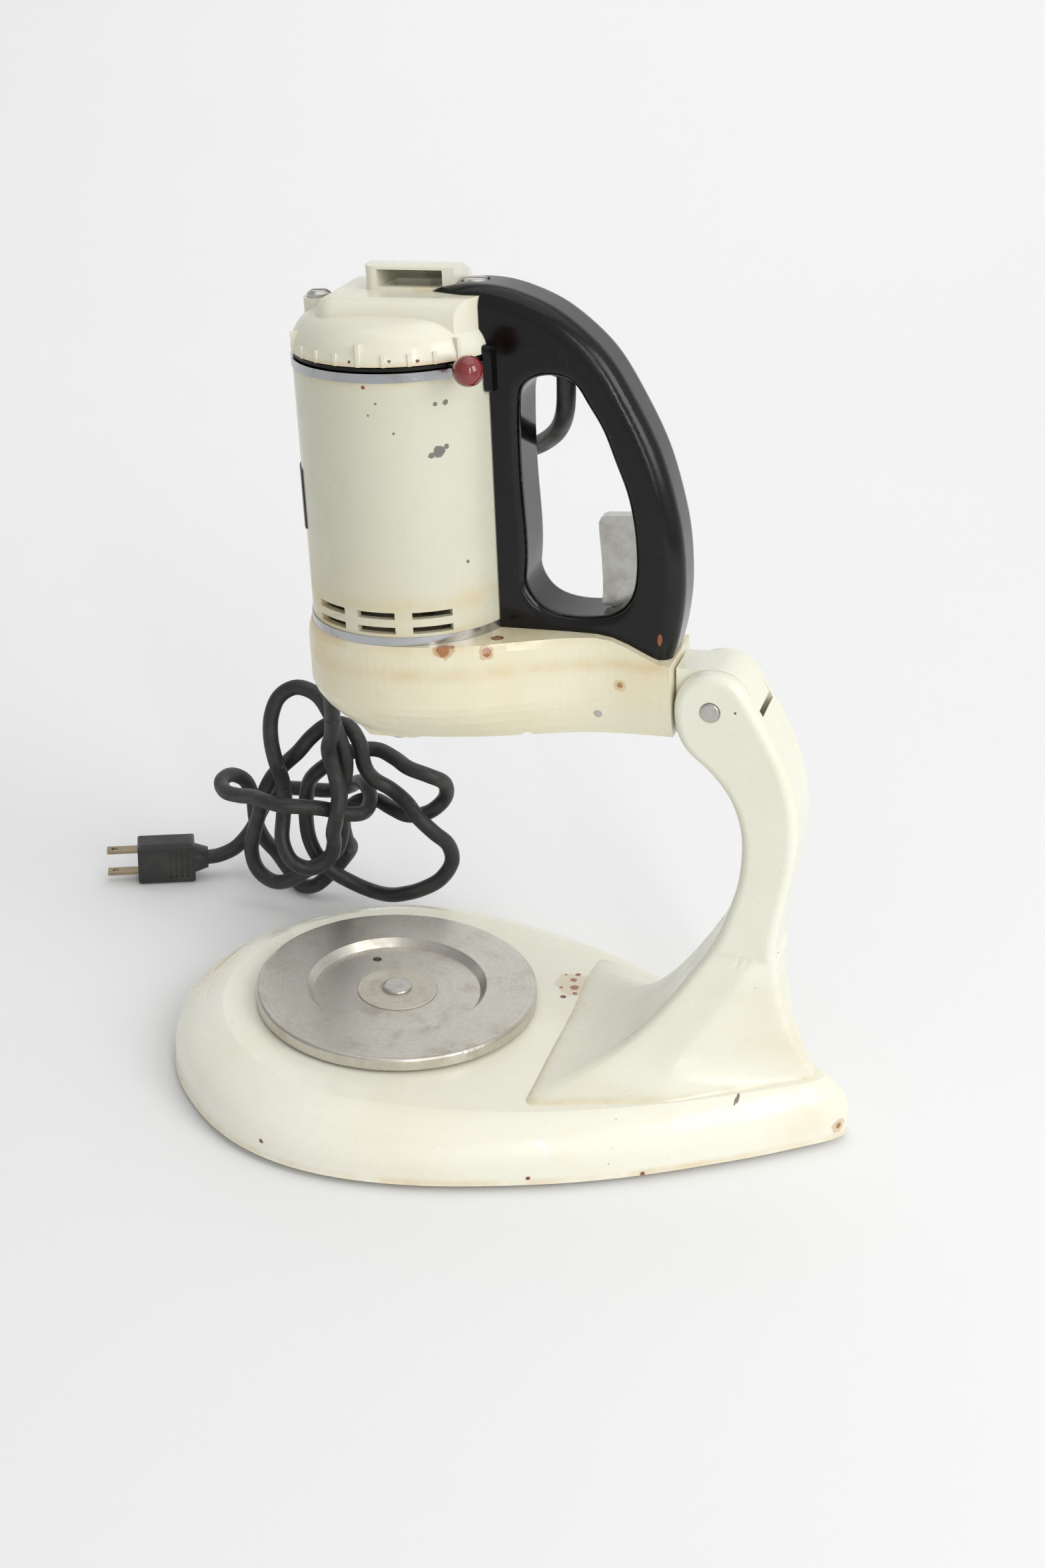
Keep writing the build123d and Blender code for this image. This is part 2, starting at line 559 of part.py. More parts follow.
# plan (x, y) of the prow that the arm narrows to
PROW = [(20, -3.2), (24.5, -6.4), (46, -15), (150, -15), (150, 15), (46, 15), (24.5, 6.4),
        (20, 3.2)]
PROW_Z = 352.3
# side views (x, z) of the trigger and its slot
TRIGGER = [
    (91.4, 241.8), (92.0, 247), (92.1, 253), (91.8, 263), (91.1, 273), (91.0, 277), (92.0, 279.3),
    (94.0, 280.1), (103.5, 280.5), (110.5, 280.6), (111.6, 270), (112.6, 255), (115.4, 243),
    (116.0, 236), (115.2, 231.6), (112.5, 230.4), (110.0, 230.8), (108.6, 232.2), (101.0, 232.6),
    (101.0, 235.4), (108.3, 235.6), (109.0, 240.8)]
TRIGGER_SLOT = [(88.0, 241.2), (88.0, 250), (100, 285.0), (121.2, 285.0), (120.8, 262),
                (119.8, 240), (119.2, 231.0), (114.0, 228.4), (98.5, 229.4), (98.5, 240.6)]
HANDLE_HALF_W = 14.5
TRIGGER_HALF_W = 3.0
TRIGGER_PIN_X, TRIGGER_PIN_Z = 112.5, 234.5
TRIGGER_PIN_R = 1.8
HANDLE_SCREW_SEAT_Z = 371.95
SEAT_GAP = 0.08                 # between the handle and the gear case


def handle():
    outline = add_lines(Curve() + Spline(*HANDLE_TOP), HANDLE_TOP[-1], (121.6, 221.0),
                        (50.0, 221.0), (46.0, 346.0), (30.0, 352.0), HANDLE_TOP[0])
    body = xz_prism(outline, HANDLE_HALF_W)
    outer_edges = [e for e in body.edges()
                   if abs(abs(e.center().Y) - HANDLE_HALF_W) < 0.01 and e.length > 150]
    body = try_fillet(body, outer_edges, (8.0, 7.0, 6.0, 4.0, 3.0))
    body -= xz_prism(Curve() + Spline(*OPENING, periodic=True), 30)
    open_edges = [e for e in body.edges() if abs(abs(e.center().Y) - HANDLE_HALF_W) < 0.05 and
                  60 < e.bounding_box().center().X < 100 and
                  260 < e.bounding_box().center().Z < 310 and e.length > 150]
    body = try_fillet(body, open_edges, (4.0, 3.0, 2.0))

    # a saddle flares round the shell, and the arm above narrows to a prow
    saddle = rod(MOTOR_R + 3.4, 333.0, 351.6, MOTOR_X) & block(38, 60, -17.8, 17.8, 330.0, 353.0)
    rims = saddle.edges().group_by(Axis.Z)[0] + saddle.edges().group_by(Axis.Z)[-1]
    body += try_fillet(saddle, rims, (1.6, 1.0))
    body = body & (prism(PROW, PROW_Z, PROW_Z + 40) + block(0, 150, -30, 30, 200, PROW_Z))

    # clearance round the shell, the cap, its hump and its scoop
    body -= rod(MOTOR_R + 0.3, 200, CAP_Z - 0.5, MOTOR_X)
    clear_dome = [(r + 0.25 * min(1, r / 20), z + 0.3) for r, z in DOME]
    body -= domed(clear_dome, (CAP_R + 0.25, CAP_Z - 1), (0, CAP_Z - 1))
    hump_clear = block(-18.6, 60.0, -26.0, 26.0, 350.0, 370.25)
    body -= hump_clear & rod(CAP_R - 2.6, 340, 380, MOTOR_X)
    body -= block(-5, 36.4, -7, 23, 365, 380.5)

    # seat on the gear case
    seat = [(x, z + SEAT_GAP) for x, z in TOP_SLOPE]
    body -= xz_prism(Polyline((-60, 180), (-60, CASE_TOP_Z + 0.06), *seat,
                              (150, 222.3 + SEAT_GAP), (150, 180), close=True), 70)

    # trigger, latch, handle screw and cord
    body -= xz_prism(Polyline(*TRIGGER_SLOT, close=True), TRIGGER_HALF_W + 0.35)
    body -= cross_rod(TRIGGER_PIN_R + RUN, 9, TRIGGER_PIN_X, TRIGGER_PIN_Z)
    body -= rod(2.4, 215, 245, LATCH_X)
    body -= rod(3.4, 233, 243.0, LATCH_X)
    body -= rod(2.8, 340, 372.9, TIE_REAR_X)
    body -= rod(5.6, 371.9, 380, TIE_REAR_X)
    body -= rod(6.05, 325, 345.5, CORD_X)
    return body - rod(CORD_R + 0.6, 325, 356, CORD_X)


def handle_screw():
    screw = rod(5.1, HANDLE_SCREW_SEAT_Z, 374.3, TIE_REAR_X)
    screw = try_fillet(screw, screw.edges().group_by(Axis.Z)[-1], (1.5, 1.0))
    screw -= screw_slot(TIE_REAR_X, 373.3, 376)
    return screw + rod(2.5, 333.0, HANDLE_SCREW_SEAT_Z, TIE_REAR_X)


def release_trigger():
    trigger = xz_prism(Polyline(*TRIGGER, close=True), TRIGGER_HALF_W)
    trigger -= cross_rod(TRIGGER_PIN_R + RUN, 9, TRIGGER_PIN_X, TRIGGER_PIN_Z)
    return trigger - block(100.0, 106.3, -1.9, 1.9, 228, 237)


def trigger_pin():
    return cross_rod(TRIGGER_PIN_R, 8.9, TRIGGER_PIN_X, TRIGGER_PIN_Z)


def latch_bolt():
    bolt = rod(1.6, 214.3, 237.0, LATCH_X) + rod(2.7, 236.6, 238.2, LATCH_X)
    return bolt + rod(2.2, 214.3, 220.5, LATCH_X)


def cord_grommet():
    return ring(6.0, CORD_R + 0.4, 337.0, 345.4, CORD_X)


# ---------------------------------------------------------------- speed control
KNOB_R = 6.1
KNOB_REACH = 57.0               # knob centre from the motor axis
KNOB_PLACE = about_motor(-43.5)
LEVER_Z0, LEVER_Z1 = 346.3, 347.6
LEVER_MID_Z = (LEVER_Z0 + LEVER_Z1) / 2
ARM_HALF_W = 2.0
ARM_END = KNOB_REACH - 4.0


def lever_stem(length):
    return KNOB_PLACE * (Pos(KNOB_REACH - 5.0, 0, LEVER_MID_Z) * Rot(0, 90, 0)
                         * Cylinder(0.6, length))


def speed_lever():
    lever = ring(43.2, 38.0, LEVER_Z0, LEVER_Z1, MOTOR_X)
    lever += KNOB_PLACE * block(40.0, ARM_END, -ARM_HALF_W, ARM_HALF_W, LEVER_Z0, LEVER_Z1)
    return lever + lever_stem(9.0)


def lever_knob():
    knob = KNOB_PLACE * (Pos(KNOB_REACH, 0, LEVER_MID_Z) * Rot(0, 90, 0) * Sphere(KNOB_R))
    knob -= KNOB_PLACE * block(KNOB_REACH + KNOB_R - 0.12, KNOB_REACH + 10, -5, 5, 340, 354)
    knob -= lever_stem(9.02)
    fit = 0.02
    half_slot = ARM_HALF_W + fit
    return knob - KNOB_PLACE * block(KNOB_REACH - 8, ARM_END + fit, -half_slot, half_slot,
                                     LEVER_Z0 - fit, LEVER_Z1 + fit)


# ---------------------------------------------------------------- motor and governor internals
SHAFT_R = 3.5
CORE_Z0, CORE_Z1 = 264.0, 300.0         # field and armature cores
BELOW_CORE_Z, ABOVE_CORE_Z = CORE_Z0 - 0.1, CORE_Z1 + 0.1
WINDING_TOP_Z = 308.0
BEARING_R = 8.0


def governor_plate():
    plate = ring(37.2, 6.0, 343.0, 345.4, MOTOR_X)
    for x in TIES_X:
        plate -= rod(2.8, 340, 350, x)
    return plate


def governor_contacts():
    angles = [math.radians(-150 + 22 * k) for k in range(6)]
    return [rod(1.8, 345.4, 346.1, MOTOR_X + 30 * math.cos(angle), 30 * math.sin(angle))
            for angle in angles]


def bearing_bridge():
    bridge = block(TIE_FRONT_X - 5, TIE_REAR_X + 5, -7, 7, 326.0, 332.0)
    bridge += rod(12, 322.0, 334.0, MOTOR_X)
    bridge -= rod(BEARING_R, 300, 350, MOTOR_X)
    for x in TIES_X:
        bridge -= rod(2.2, 300, 350, x)
    return bridge


def field_core():
    core = ring(40.5, 17.2, CORE_Z0, CORE_Z1, MOTOR_X)
    for side, tie_x in zip((-1, 1), TIES_X):
        core -= block(MOTOR_X - 12, MOTOR_X + 12, side * 30 - 4.5, side * 30 + 4.5, 260, 305)
        core -= rod(2.2, 260, 305, tie_x)
    return core


def field_coils():
    coils = []
    for side in (-1, 1):
        sector = [(0, 0), (60, side * 22), (60, side * 70), (-60, side * 70), (-60, side * 22)]
        for z0, z1 in ((256.0, BELOW_CORE_Z), (ABOVE_CORE_Z, WINDING_TOP_Z)):
            coils.append(ring(29.0, 19.0, z0, z1, MOTOR_X) & prism(sector, z0, z1, MOTOR_X))
    return coils


def tie_studs():
    return [rod(2.1, 233.7, 332.9, x) + rod(4.0, 332.1, 333.0, x) + rod(4.0, 322.9, 325.9, x)
            + rod(1.5, 229.3, 233.7, x) for x in TIES_X]


def armature_core():
    core = ring(16.6, SHAFT_R, CORE_Z0, CORE_Z1, MOTOR_X)
    for k in range(12):
        core -= about_motor(30 * k + 15) * Pos(15, 0, 282) * Box(6, 2.0, 40)
    return core


def armature_windings():
    return [ring(14.0, SHAFT_R, z0, z1, MOTOR_X)
            for z0, z1 in ((255.0, BELOW_CORE_Z), (ABOVE_CORE_Z, WINDING_TOP_Z))]


def commutator():
    drum = ring(10.5, SHAFT_R, 309.0, 319.5, MOTOR_X)
    for k in range(16):
        drum -= about_motor(22.5 * k) * Pos(10.5, 0, 314.5) * Box(1.6, 0.5, 12)
    return drum


def cooling_fan():
    fan = ring(8.0, SHAFT_R, 243.0, 253.0, MOTOR_X) + ring(30.0, SHAFT_R, 243.0, 244.4, MOTOR_X)
    for k in range(9):
        fan += about_motor(40 * k) * Pos(18.5, 0, 248.2) * Rot(0, 0, 20) * Box(20, 1.4, 9.0)
    return fan


def lower_bearing():
    return ring(BEARING_R, SHAFT_R + RUN, 229.6, 238.4, MOTOR_X)


def upper_bearing():
    return ring(BEARING_R, SHAFT_R + RUN, 322.5, 333.5, MOTOR_X)


def radial_bar(side, half_width, y_inner, y_outer, z0, z1):
    """Block reaching out from the motor axis along +Y or -Y."""
    y0, y1 = sorted((side * y_inner, side * y_outer))
    return block(MOTOR_X - half_width, MOTOR_X + half_width, y0, y1, z0, z1)


def carbon_brushes():
    return [radial_bar(side, 2.5, 10.8, 22.0, 311.5, 316.5) for side in (-1, 1)]


def brush_holders():
    holders = []
    for side in (-1, 1):
        holder = radial_bar(side, 4.5, 13.0, 40.4, 309.5, 318.5)
        holder -= radial_bar(side, 2.6, 5.0, 36.0, 311.4, 316.6)
        holders.append(holder & rod(40.4, 300, 330, MOTOR_X))
    return holders


# ---------------------------------------------------------------- reduction gears
PRESSURE_ANGLE = math.radians(20)
BACKLASH = 0.12
TIP_HEIGHT, ROOT_DEPTH = 0.92, 1.25     # in modules
MOTOR_MODULE, SPINDLE_MODULE = 0.8, 1.0
PINION_TEETH, IDLER_TEETH, IDLER_PINION_TEETH, SPINDLE_TEETH = 10, 44, 12, 30


def gear(teeth, module, z0, z1, x, y, phase):
    """Involute spur gear; phase is the angle in degrees of one tooth's centre."""
    pitch_r = teeth * module / 2
    base_r = pitch_r * math.cos(PRESSURE_ANGLE)
    tip_r = pitch_r + module * TIP_HEIGHT
    root_r = pitch_r - ROOT_DEPTH * module
    start_r = max(base_r, root_r + 0.05)
    half_tooth = math.pi / (2 * teeth) - BACKLASH / (2 * pitch_r)
    flank = []                          # radius, half angle of the tooth
    for k in range(6):
        radius = start_r + (tip_r - start_r) * k / 5
        angle = math.acos(min(1, base_r / radius))
        involute = math.tan(angle) - angle
        flank.append((radius, half_tooth + math.tan(PRESSURE_ANGLE) - PRESSURE_ANGLE - involute))
    flank.insert(0, (root_r, flank[0][1]))
    points = []
    for k in range(teeth):
        centre = math.radians(phase) + 2 * math.pi * k / teeth
        tooth = [(r, centre - half) for r, half in flank]
        tooth += [(r, centre + half) for r, half in reversed(flank)]
        points += [(x + r * math.cos(a), y + r * math.sin(a)) for r, a in tooth]
    return prism(points, z0, z1)


def mating_phase(phase, line_angle, teeth, mate_teeth):
    """Phase that sets a mate's gap to this gear; line_angle points from gear to mate."""
    offset = (line_angle - phase) / (360 / teeth)
    offset -= round(offset)
    return line_angle + 180 + 360 / mate_teeth * (0.5 + offset)


MOTOR_TO_IDLER = math.degrees(math.atan2(IDLER_Y, IDLER_X - MOTOR_X))
IDLER_TO_NEAR = math.degrees(math.atan2(-SPINDLE_Y - IDLER_Y, SPINDLE_X - IDLER_X))
IDLER_PHASE = mating_phase(0.0, MOTOR_TO_IDLER, PINION_TEETH, IDLER_TEETH)
NEAR_PHASE = mating_phase(IDLER_TO_NEAR, IDLER_TO_NEAR, IDLER_PINION_TEETH, SPINDLE_TEETH)
FAR_PHASE = mating_phase(NEAR_PHASE, 90, SPINDLE_TEETH, SPINDLE_TEETH)


def armature_shaft():
    shaft = rod(SHAFT_R, 229.0, 342.0, MOTOR_X) + rod(2.6, 219.6, 229.0, MOTOR_X)
    return shaft + gear(PINION_TEETH, MOTOR_MODULE, 220.4, 227.6, MOTOR_X, 0, 0.0)


def idler_gear():
    idler = gear(IDLER_TEETH, MOTOR_MODULE, 221.6, 226.4, IDLER_X, IDLER_Y, IDLER_PHASE)
    idler += gear(IDLER_PINION_TEETH, SPINDLE_MODULE, 211.4, 221.6, IDLER_X, IDLER_Y,
                  IDLER_TO_NEAR)
    return idler - rod(AXLE_R + RUN, 200, 240, IDLER_X, IDLER_Y)


def idler_axle():
    return rod(AXLE_R, 191.0, 228.9, IDLER_X, IDLER_Y)


def beater_spindle(y, phase):
    spindle = gear(SPINDLE_TEETH, SPINDLE_MODULE, 212.0, 218.0, SPINDLE_X, y, phase)
    spindle += rod(4.0, 181.6, 220.4, SPINDLE_X, y) + rod(5.4, 205.2, 212.0, SPINDLE_X, y)
    return spindle - hex_socket(SPINDLE_X, y, 181.0, 14)


def beater_spindle_near():
    return beater_spindle(-SPINDLE_Y, NEAR_PHASE)


def beater_spindle_far():
    return beater_spindle(SPINDLE_Y, FAR_PHASE)


def spindle_bushings():
    return [ring(BUSHING_R, 4.0 + RUN, 184.0, 205.0, SPINDLE_X, side * SPINDLE_Y)
            for side in (-1, 1)]


# ---------------------------------------------------------------- power cord
# centre line (x, y, z) out of the handle, in the level head frame, then hanging in the world
LEAD_IN_HEAD = [
    (78.5, 0, 352.0), (78.5, 0, 346.0), (78.5, 0, 341.0), (78.4, 0.15, 335.0), (76.5, 4.5, 322.0),
    (70.5, 15.0, 310.5), (60.0, 30.0, 300.5), (46.0, 46.0, 291.5), (27.0, 57.5, 282.0),
    (5.0, 62.5, 271.0)]
LEAD_HANGING = [(-22.0, 63.5, 252.0), (-42.0, 62.0, 229.0), (-50.0, 61.0, 205.0)]
# centre line (x, y, z) of the loose bundle on the far side, one turn passed round it, to the plug
CORD_POINTS = [
    (-50.3, 61.3, 203.2), (-51.9, 62.5, 193.4), (-53.7, 63.9, 182.2), (-55.7, 65.6, 171.1),
    (-57.9, 68.4, 160.3), (-59.7, 71.8, 149.7), (-60.6, 75.1, 138.9), (-61.3, 78.4, 127.6),
    (-63.7, 83.1, 117.2), (-67.8, 89.9, 108.9), (-70.4, 96.7, 100.2), (-68.4, 98.9, 89.4),
    (-64.6, 94.8, 79.4), (-64.4, 90.6, 68.9), (-67.1, 93.4, 58.4), (-69.0, 99.7, 49.0),
    (-72.6, 102.2, 38.5), (-81.2, 99.7, 32.3), (-91.0, 97.1, 35.7), (-96.9, 98.8, 45.3),
    (-98.3, 103.4, 55.9), (-98.3, 106.1, 67.1), (-99.0, 104.2, 78.5), (-100.9, 101.1, 89.4),
    (-103.2, 101.2, 100.8), (-103.9, 103.7, 112.1), (-100.3, 106.0, 122.8), (-91.3, 107.2, 128.8),
    (-80.9, 107.8, 126.0), (-74.0, 107.5, 116.9), (-69.2, 106.6, 106.5), (-65.6, 106.5, 95.6),
    (-66.2, 108.3, 84.3), (-69.5, 110.6, 73.6), (-70.4, 111.7, 62.2), (-69.3, 111.4, 50.7),
    (-71.9, 110.9, 39.6), (-79.5, 110.1, 31.4), (-88.4, 109.5, 24.6), (-97.1, 109.9, 17.5),
    (-107.3, 111.2, 13.9), (-116.9, 112.6, 18.6), (-120.3, 112.9, 29.4), (-118.2, 112.1, 40.8),
    (-115.1, 111.9, 52.0), (-112.8, 113.4, 63.2), (-108.3, 114.7, 73.5), (-101.0, 113.9, 82.1),
    (-93.4, 113.1, 90.4), (-86.6, 114.9, 99.3), (-78.2, 117.3, 106.4), (-67.5, 116.2, 107.4),
    (-60.0, 112.9, 100.1), (-57.9, 113.2, 88.8), (-55.0, 118.7, 79.3), (-46.8, 122.1, 73.2),
    (-37.2, 118.5, 69.1), (-28.9, 113.7, 63.7), (-20.7, 114.6, 56.3), (-14.6, 119.6, 48.0),
    (-13.3, 122.2, 37.1), (-18.5, 119.8, 27.3), (-27.4, 116.6, 21.5), (-37.4, 116.8, 16.7),
    (-47.1, 120.3, 12.6), (-57.5, 123.3, 11.5), (-68.0, 122.8, 14.7), (-77.0, 119.8, 20.7),
    (-84.9, 118.4, 28.6), (-91.1, 120.8, 37.9), (-94.2, 124.7, 48.3), (-94.2, 125.7, 59.8),
    (-90.9, 122.6, 70.4), (-84.2, 119.2, 79.0), (-75.6, 120.6, 85.9), (-66.8, 126.1, 89.8),
    (-56.5, 129.5, 90.4), (-46.3, 126.1, 88.9), (-36.8, 120.6, 87.3), (-26.3, 120.4, 85.0),
    (-19.4, 126.4, 79.0), (-20.3, 130.3, 68.7), (-27.6, 127.0, 61.0), (-37.7, 123.4, 59.1),
    (-48.0, 126.5, 60.1), (-57.8, 131.4, 60.6), (-68.0, 129.4, 58.6), (-72.6, 122.9, 51.2),
    (-71.5, 123.1, 40.2), (-71.5, 130.2, 31.4), (-76.4, 134.4, 22.5), (-82.8, 130.8, 13.9),
    (-90.4, 127.2, 6.6), (-100.3, 130.1, 4.0), (-108.7, 135.4, 8.7), (-115.8, 136.0, 17.4),
    (-121.6, 132.7, 26.6), (-125.3, 131.1, 37.3), (-127.1, 132.3, 48.8), (-130.4, 130.8, 59.6),
    (-135.0, 123.1, 66.0), (-135.9, 112.3, 66.9), (-129.9, 103.5, 66.1), (-120.1, 98.7, 67.7),
    (-110.8, 93.9, 70.9), (-101.8, 88.0, 72.9), (-91.2, 86.1, 72.9), (-81.4, 90.5, 71.8),
    (-72.4, 96.3, 69.4), (-63.2, 101.3, 65.9), (-56.5, 109.5, 64.2), (-57.0, 120.0, 66.6),
    (-62.6, 129.2, 69.2), (-69.5, 137.3, 66.5), (-76.7, 143.1, 60.1), (-86.2, 145.6, 54.9),
    (-97.1, 145.9, 53.1), (-108.0, 146.5, 51.9), (-118.4, 149.1, 48.8), (-125.5, 149.8, 42.0),
    (-130.0, 147.6, 32.5), (-134.0, 143.2, 23.2), (-139.8, 137.6, 15.6), (-146.8, 132.4, 12.2),
    (-152.6, 128.8, 11.6), (-157.0, 126.7, 11.6),
]
CORD_SIDES = 12
PLUG_PLACE = Pos(-154.3, 128.0, 11.6) * Rot(0, 0, 205.5)


def tilted_point(x, y, z):
    """A point of the level head frame in its resting place."""
    angle = math.radians(HEAD_TILT)
    dx, dz = x - PIN_X, z - PIN_Z
    return (PIN_X + math.cos(angle) * dx - math.sin(angle) * dz, y,
            PIN_Z + math.sin(angle) * dx + math.cos(angle) * dz)


def cord_lead():
    path = Spline(*[tilted_point(*point) for point in LEAD_IN_HEAD], *LEAD_HANGING)
    return sweep(Plane(origin=path @ 0, z_dir=path % 0) * Circle(CORD_R), path=path)


def power_cord():
    """Rings of corners carried along the cord without twist and skinned with flats."""
    centres = [Vector(*point) for point in CORD_POINTS]
    last = len(centres) - 1
    headings = [(centres[min(last, i + 1)] - centres[max(0, i - 1)]).normalized()
                for i in range(last + 1)]
    across = headings[0].cross(Vector(1, 0, 0)).normalized()
    rings = []
    for centre, heading in zip(centres, headings):
        across = (across - heading * across.dot(heading)).normalized()
        other = heading.cross(across)
        angles = [2 * math.pi * k / CORD_SIDES for k in range(CORD_SIDES)]
        rings.append([centre + across * (CORD_R * math.cos(a)) + other * (CORD_R * math.sin(a))
                      for a in angles])
    outlines = [list(reversed(rings[0])), rings[-1]]
    for here, there in zip(rings[:-1], rings[1:]):
        for k in range(CORD_SIDES):
            m = (k + 1) % CORD_SIDES
            outlines.append([here[k], here[m], there[m]])
            outlines.append([here[k], there[m], there[k]])
    return Solid(Shell([Face(Wire.make_polygon(points, close=True)) for points in outlines]))


def plug_body():
    plug = PLUG_PLACE * (Pos(20, 0, 0) * Box(30, 15, 23))
    plug = try_fillet(plug, plug.edges().filter_by(Axis.Z, reverse=True), (2.5, 2.0, 1.0))
    plug += PLUG_PLACE * (Pos(2.0, 0, 0) * Rot(0, 90, 0) * Cone(5.6, 8.2, 8.0))
    for k in range(4):
        grip_groove = Box(1.2, 20, 15) - Box(1.2, 14.0, 15)
        plug -= PLUG_PLACE * (Pos(9.0 + 3.0 * k, 0, 0) * grip_groove)
    return plug - PLUG_PLACE * (Pos(-2, 0, 0) * Rot(0, 90, 0) * Cylinder(CORD_R + 0.4, 22))


def plug_blades():
    blades = []
    for z in (-6.35, 6.35):
        blade = PLUG_PLACE * (Pos(43.0, 0, z) * Box(16.0, 6.3, 1.5))
        blades.append(blade - PLUG_PLACE * (Pos(47.0, 0, z) * Cylinder(1.6, 5)))
    return blades


# ---------------------------------------------------------------- export
STANDING = (
    base_shell, base_plate, rubber_feet, column_bolts, turntable, turntable_disc,
    turntable_spindle, spindle_clip, thrust_washer, column, hinge_pin, cord_lead, power_cord,
    plug_body, plug_blades)
TILTING = (
    tilt_bracket, gearcase_lower, gearcase_upper, case_screws, case_cross_pin, lower_trim_band,
    upper_trim_band, motor_housing, badge_plate, end_cap, cap_screw, handle, handle_screw,
    release_trigger, trigger_pin, latch_bolt, cord_grommet, speed_lever, lever_knob,
    governor_plate, governor_contacts, bearing_bridge, field_core, field_coils, tie_studs,
    armature_shaft, armature_core, armature_windings, commutator, cooling_fan, lower_bearing,
    upper_bearing, carbon_brushes, brush_holders, idler_gear, idler_axle, beater_spindle_near,
    beater_spindle_far, spindle_bushings)

# each file is named after its function; a function that gives a list makes one compound
for build in STANDING + TILTING:
    made = build()
    solids = made if isinstance(made, list) else [made]
    if build in TILTING:
        solids = [tilted(solid) for solid in solids]
    piece = Compound(children=solids) if isinstance(made, list) else solids[0]
    piece.label = build.__name__
    export_step(piece, f"parts/{build.__name__}.step")
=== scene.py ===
"""An old motor-driven machine in ivory enamel: an upright motor head on a column and stand.

Metres, +Z up, standing on z = 0. The head is near x = 0 and the column towards +X. The camera
looks from the -Y side, and a loose cord is heaped at -X, +Y.
"""
import bpy
import json
import math
from functools import reduce
from mathutils import Matrix, Vector


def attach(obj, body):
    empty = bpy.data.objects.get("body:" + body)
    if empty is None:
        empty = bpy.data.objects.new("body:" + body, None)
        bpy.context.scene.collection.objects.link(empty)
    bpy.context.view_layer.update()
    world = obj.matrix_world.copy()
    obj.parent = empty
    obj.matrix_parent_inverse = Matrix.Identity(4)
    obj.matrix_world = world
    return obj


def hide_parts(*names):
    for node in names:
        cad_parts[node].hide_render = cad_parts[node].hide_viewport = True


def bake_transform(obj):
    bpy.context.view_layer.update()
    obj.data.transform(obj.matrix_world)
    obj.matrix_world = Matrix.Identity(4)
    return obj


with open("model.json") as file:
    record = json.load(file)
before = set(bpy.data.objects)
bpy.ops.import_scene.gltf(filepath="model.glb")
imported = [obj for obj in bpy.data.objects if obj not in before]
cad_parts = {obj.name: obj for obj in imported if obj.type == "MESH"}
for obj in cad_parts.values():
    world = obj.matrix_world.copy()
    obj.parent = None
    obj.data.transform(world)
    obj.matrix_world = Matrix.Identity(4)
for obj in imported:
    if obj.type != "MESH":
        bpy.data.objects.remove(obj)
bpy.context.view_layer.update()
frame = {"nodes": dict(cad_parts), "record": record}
pieces = frame["nodes"]


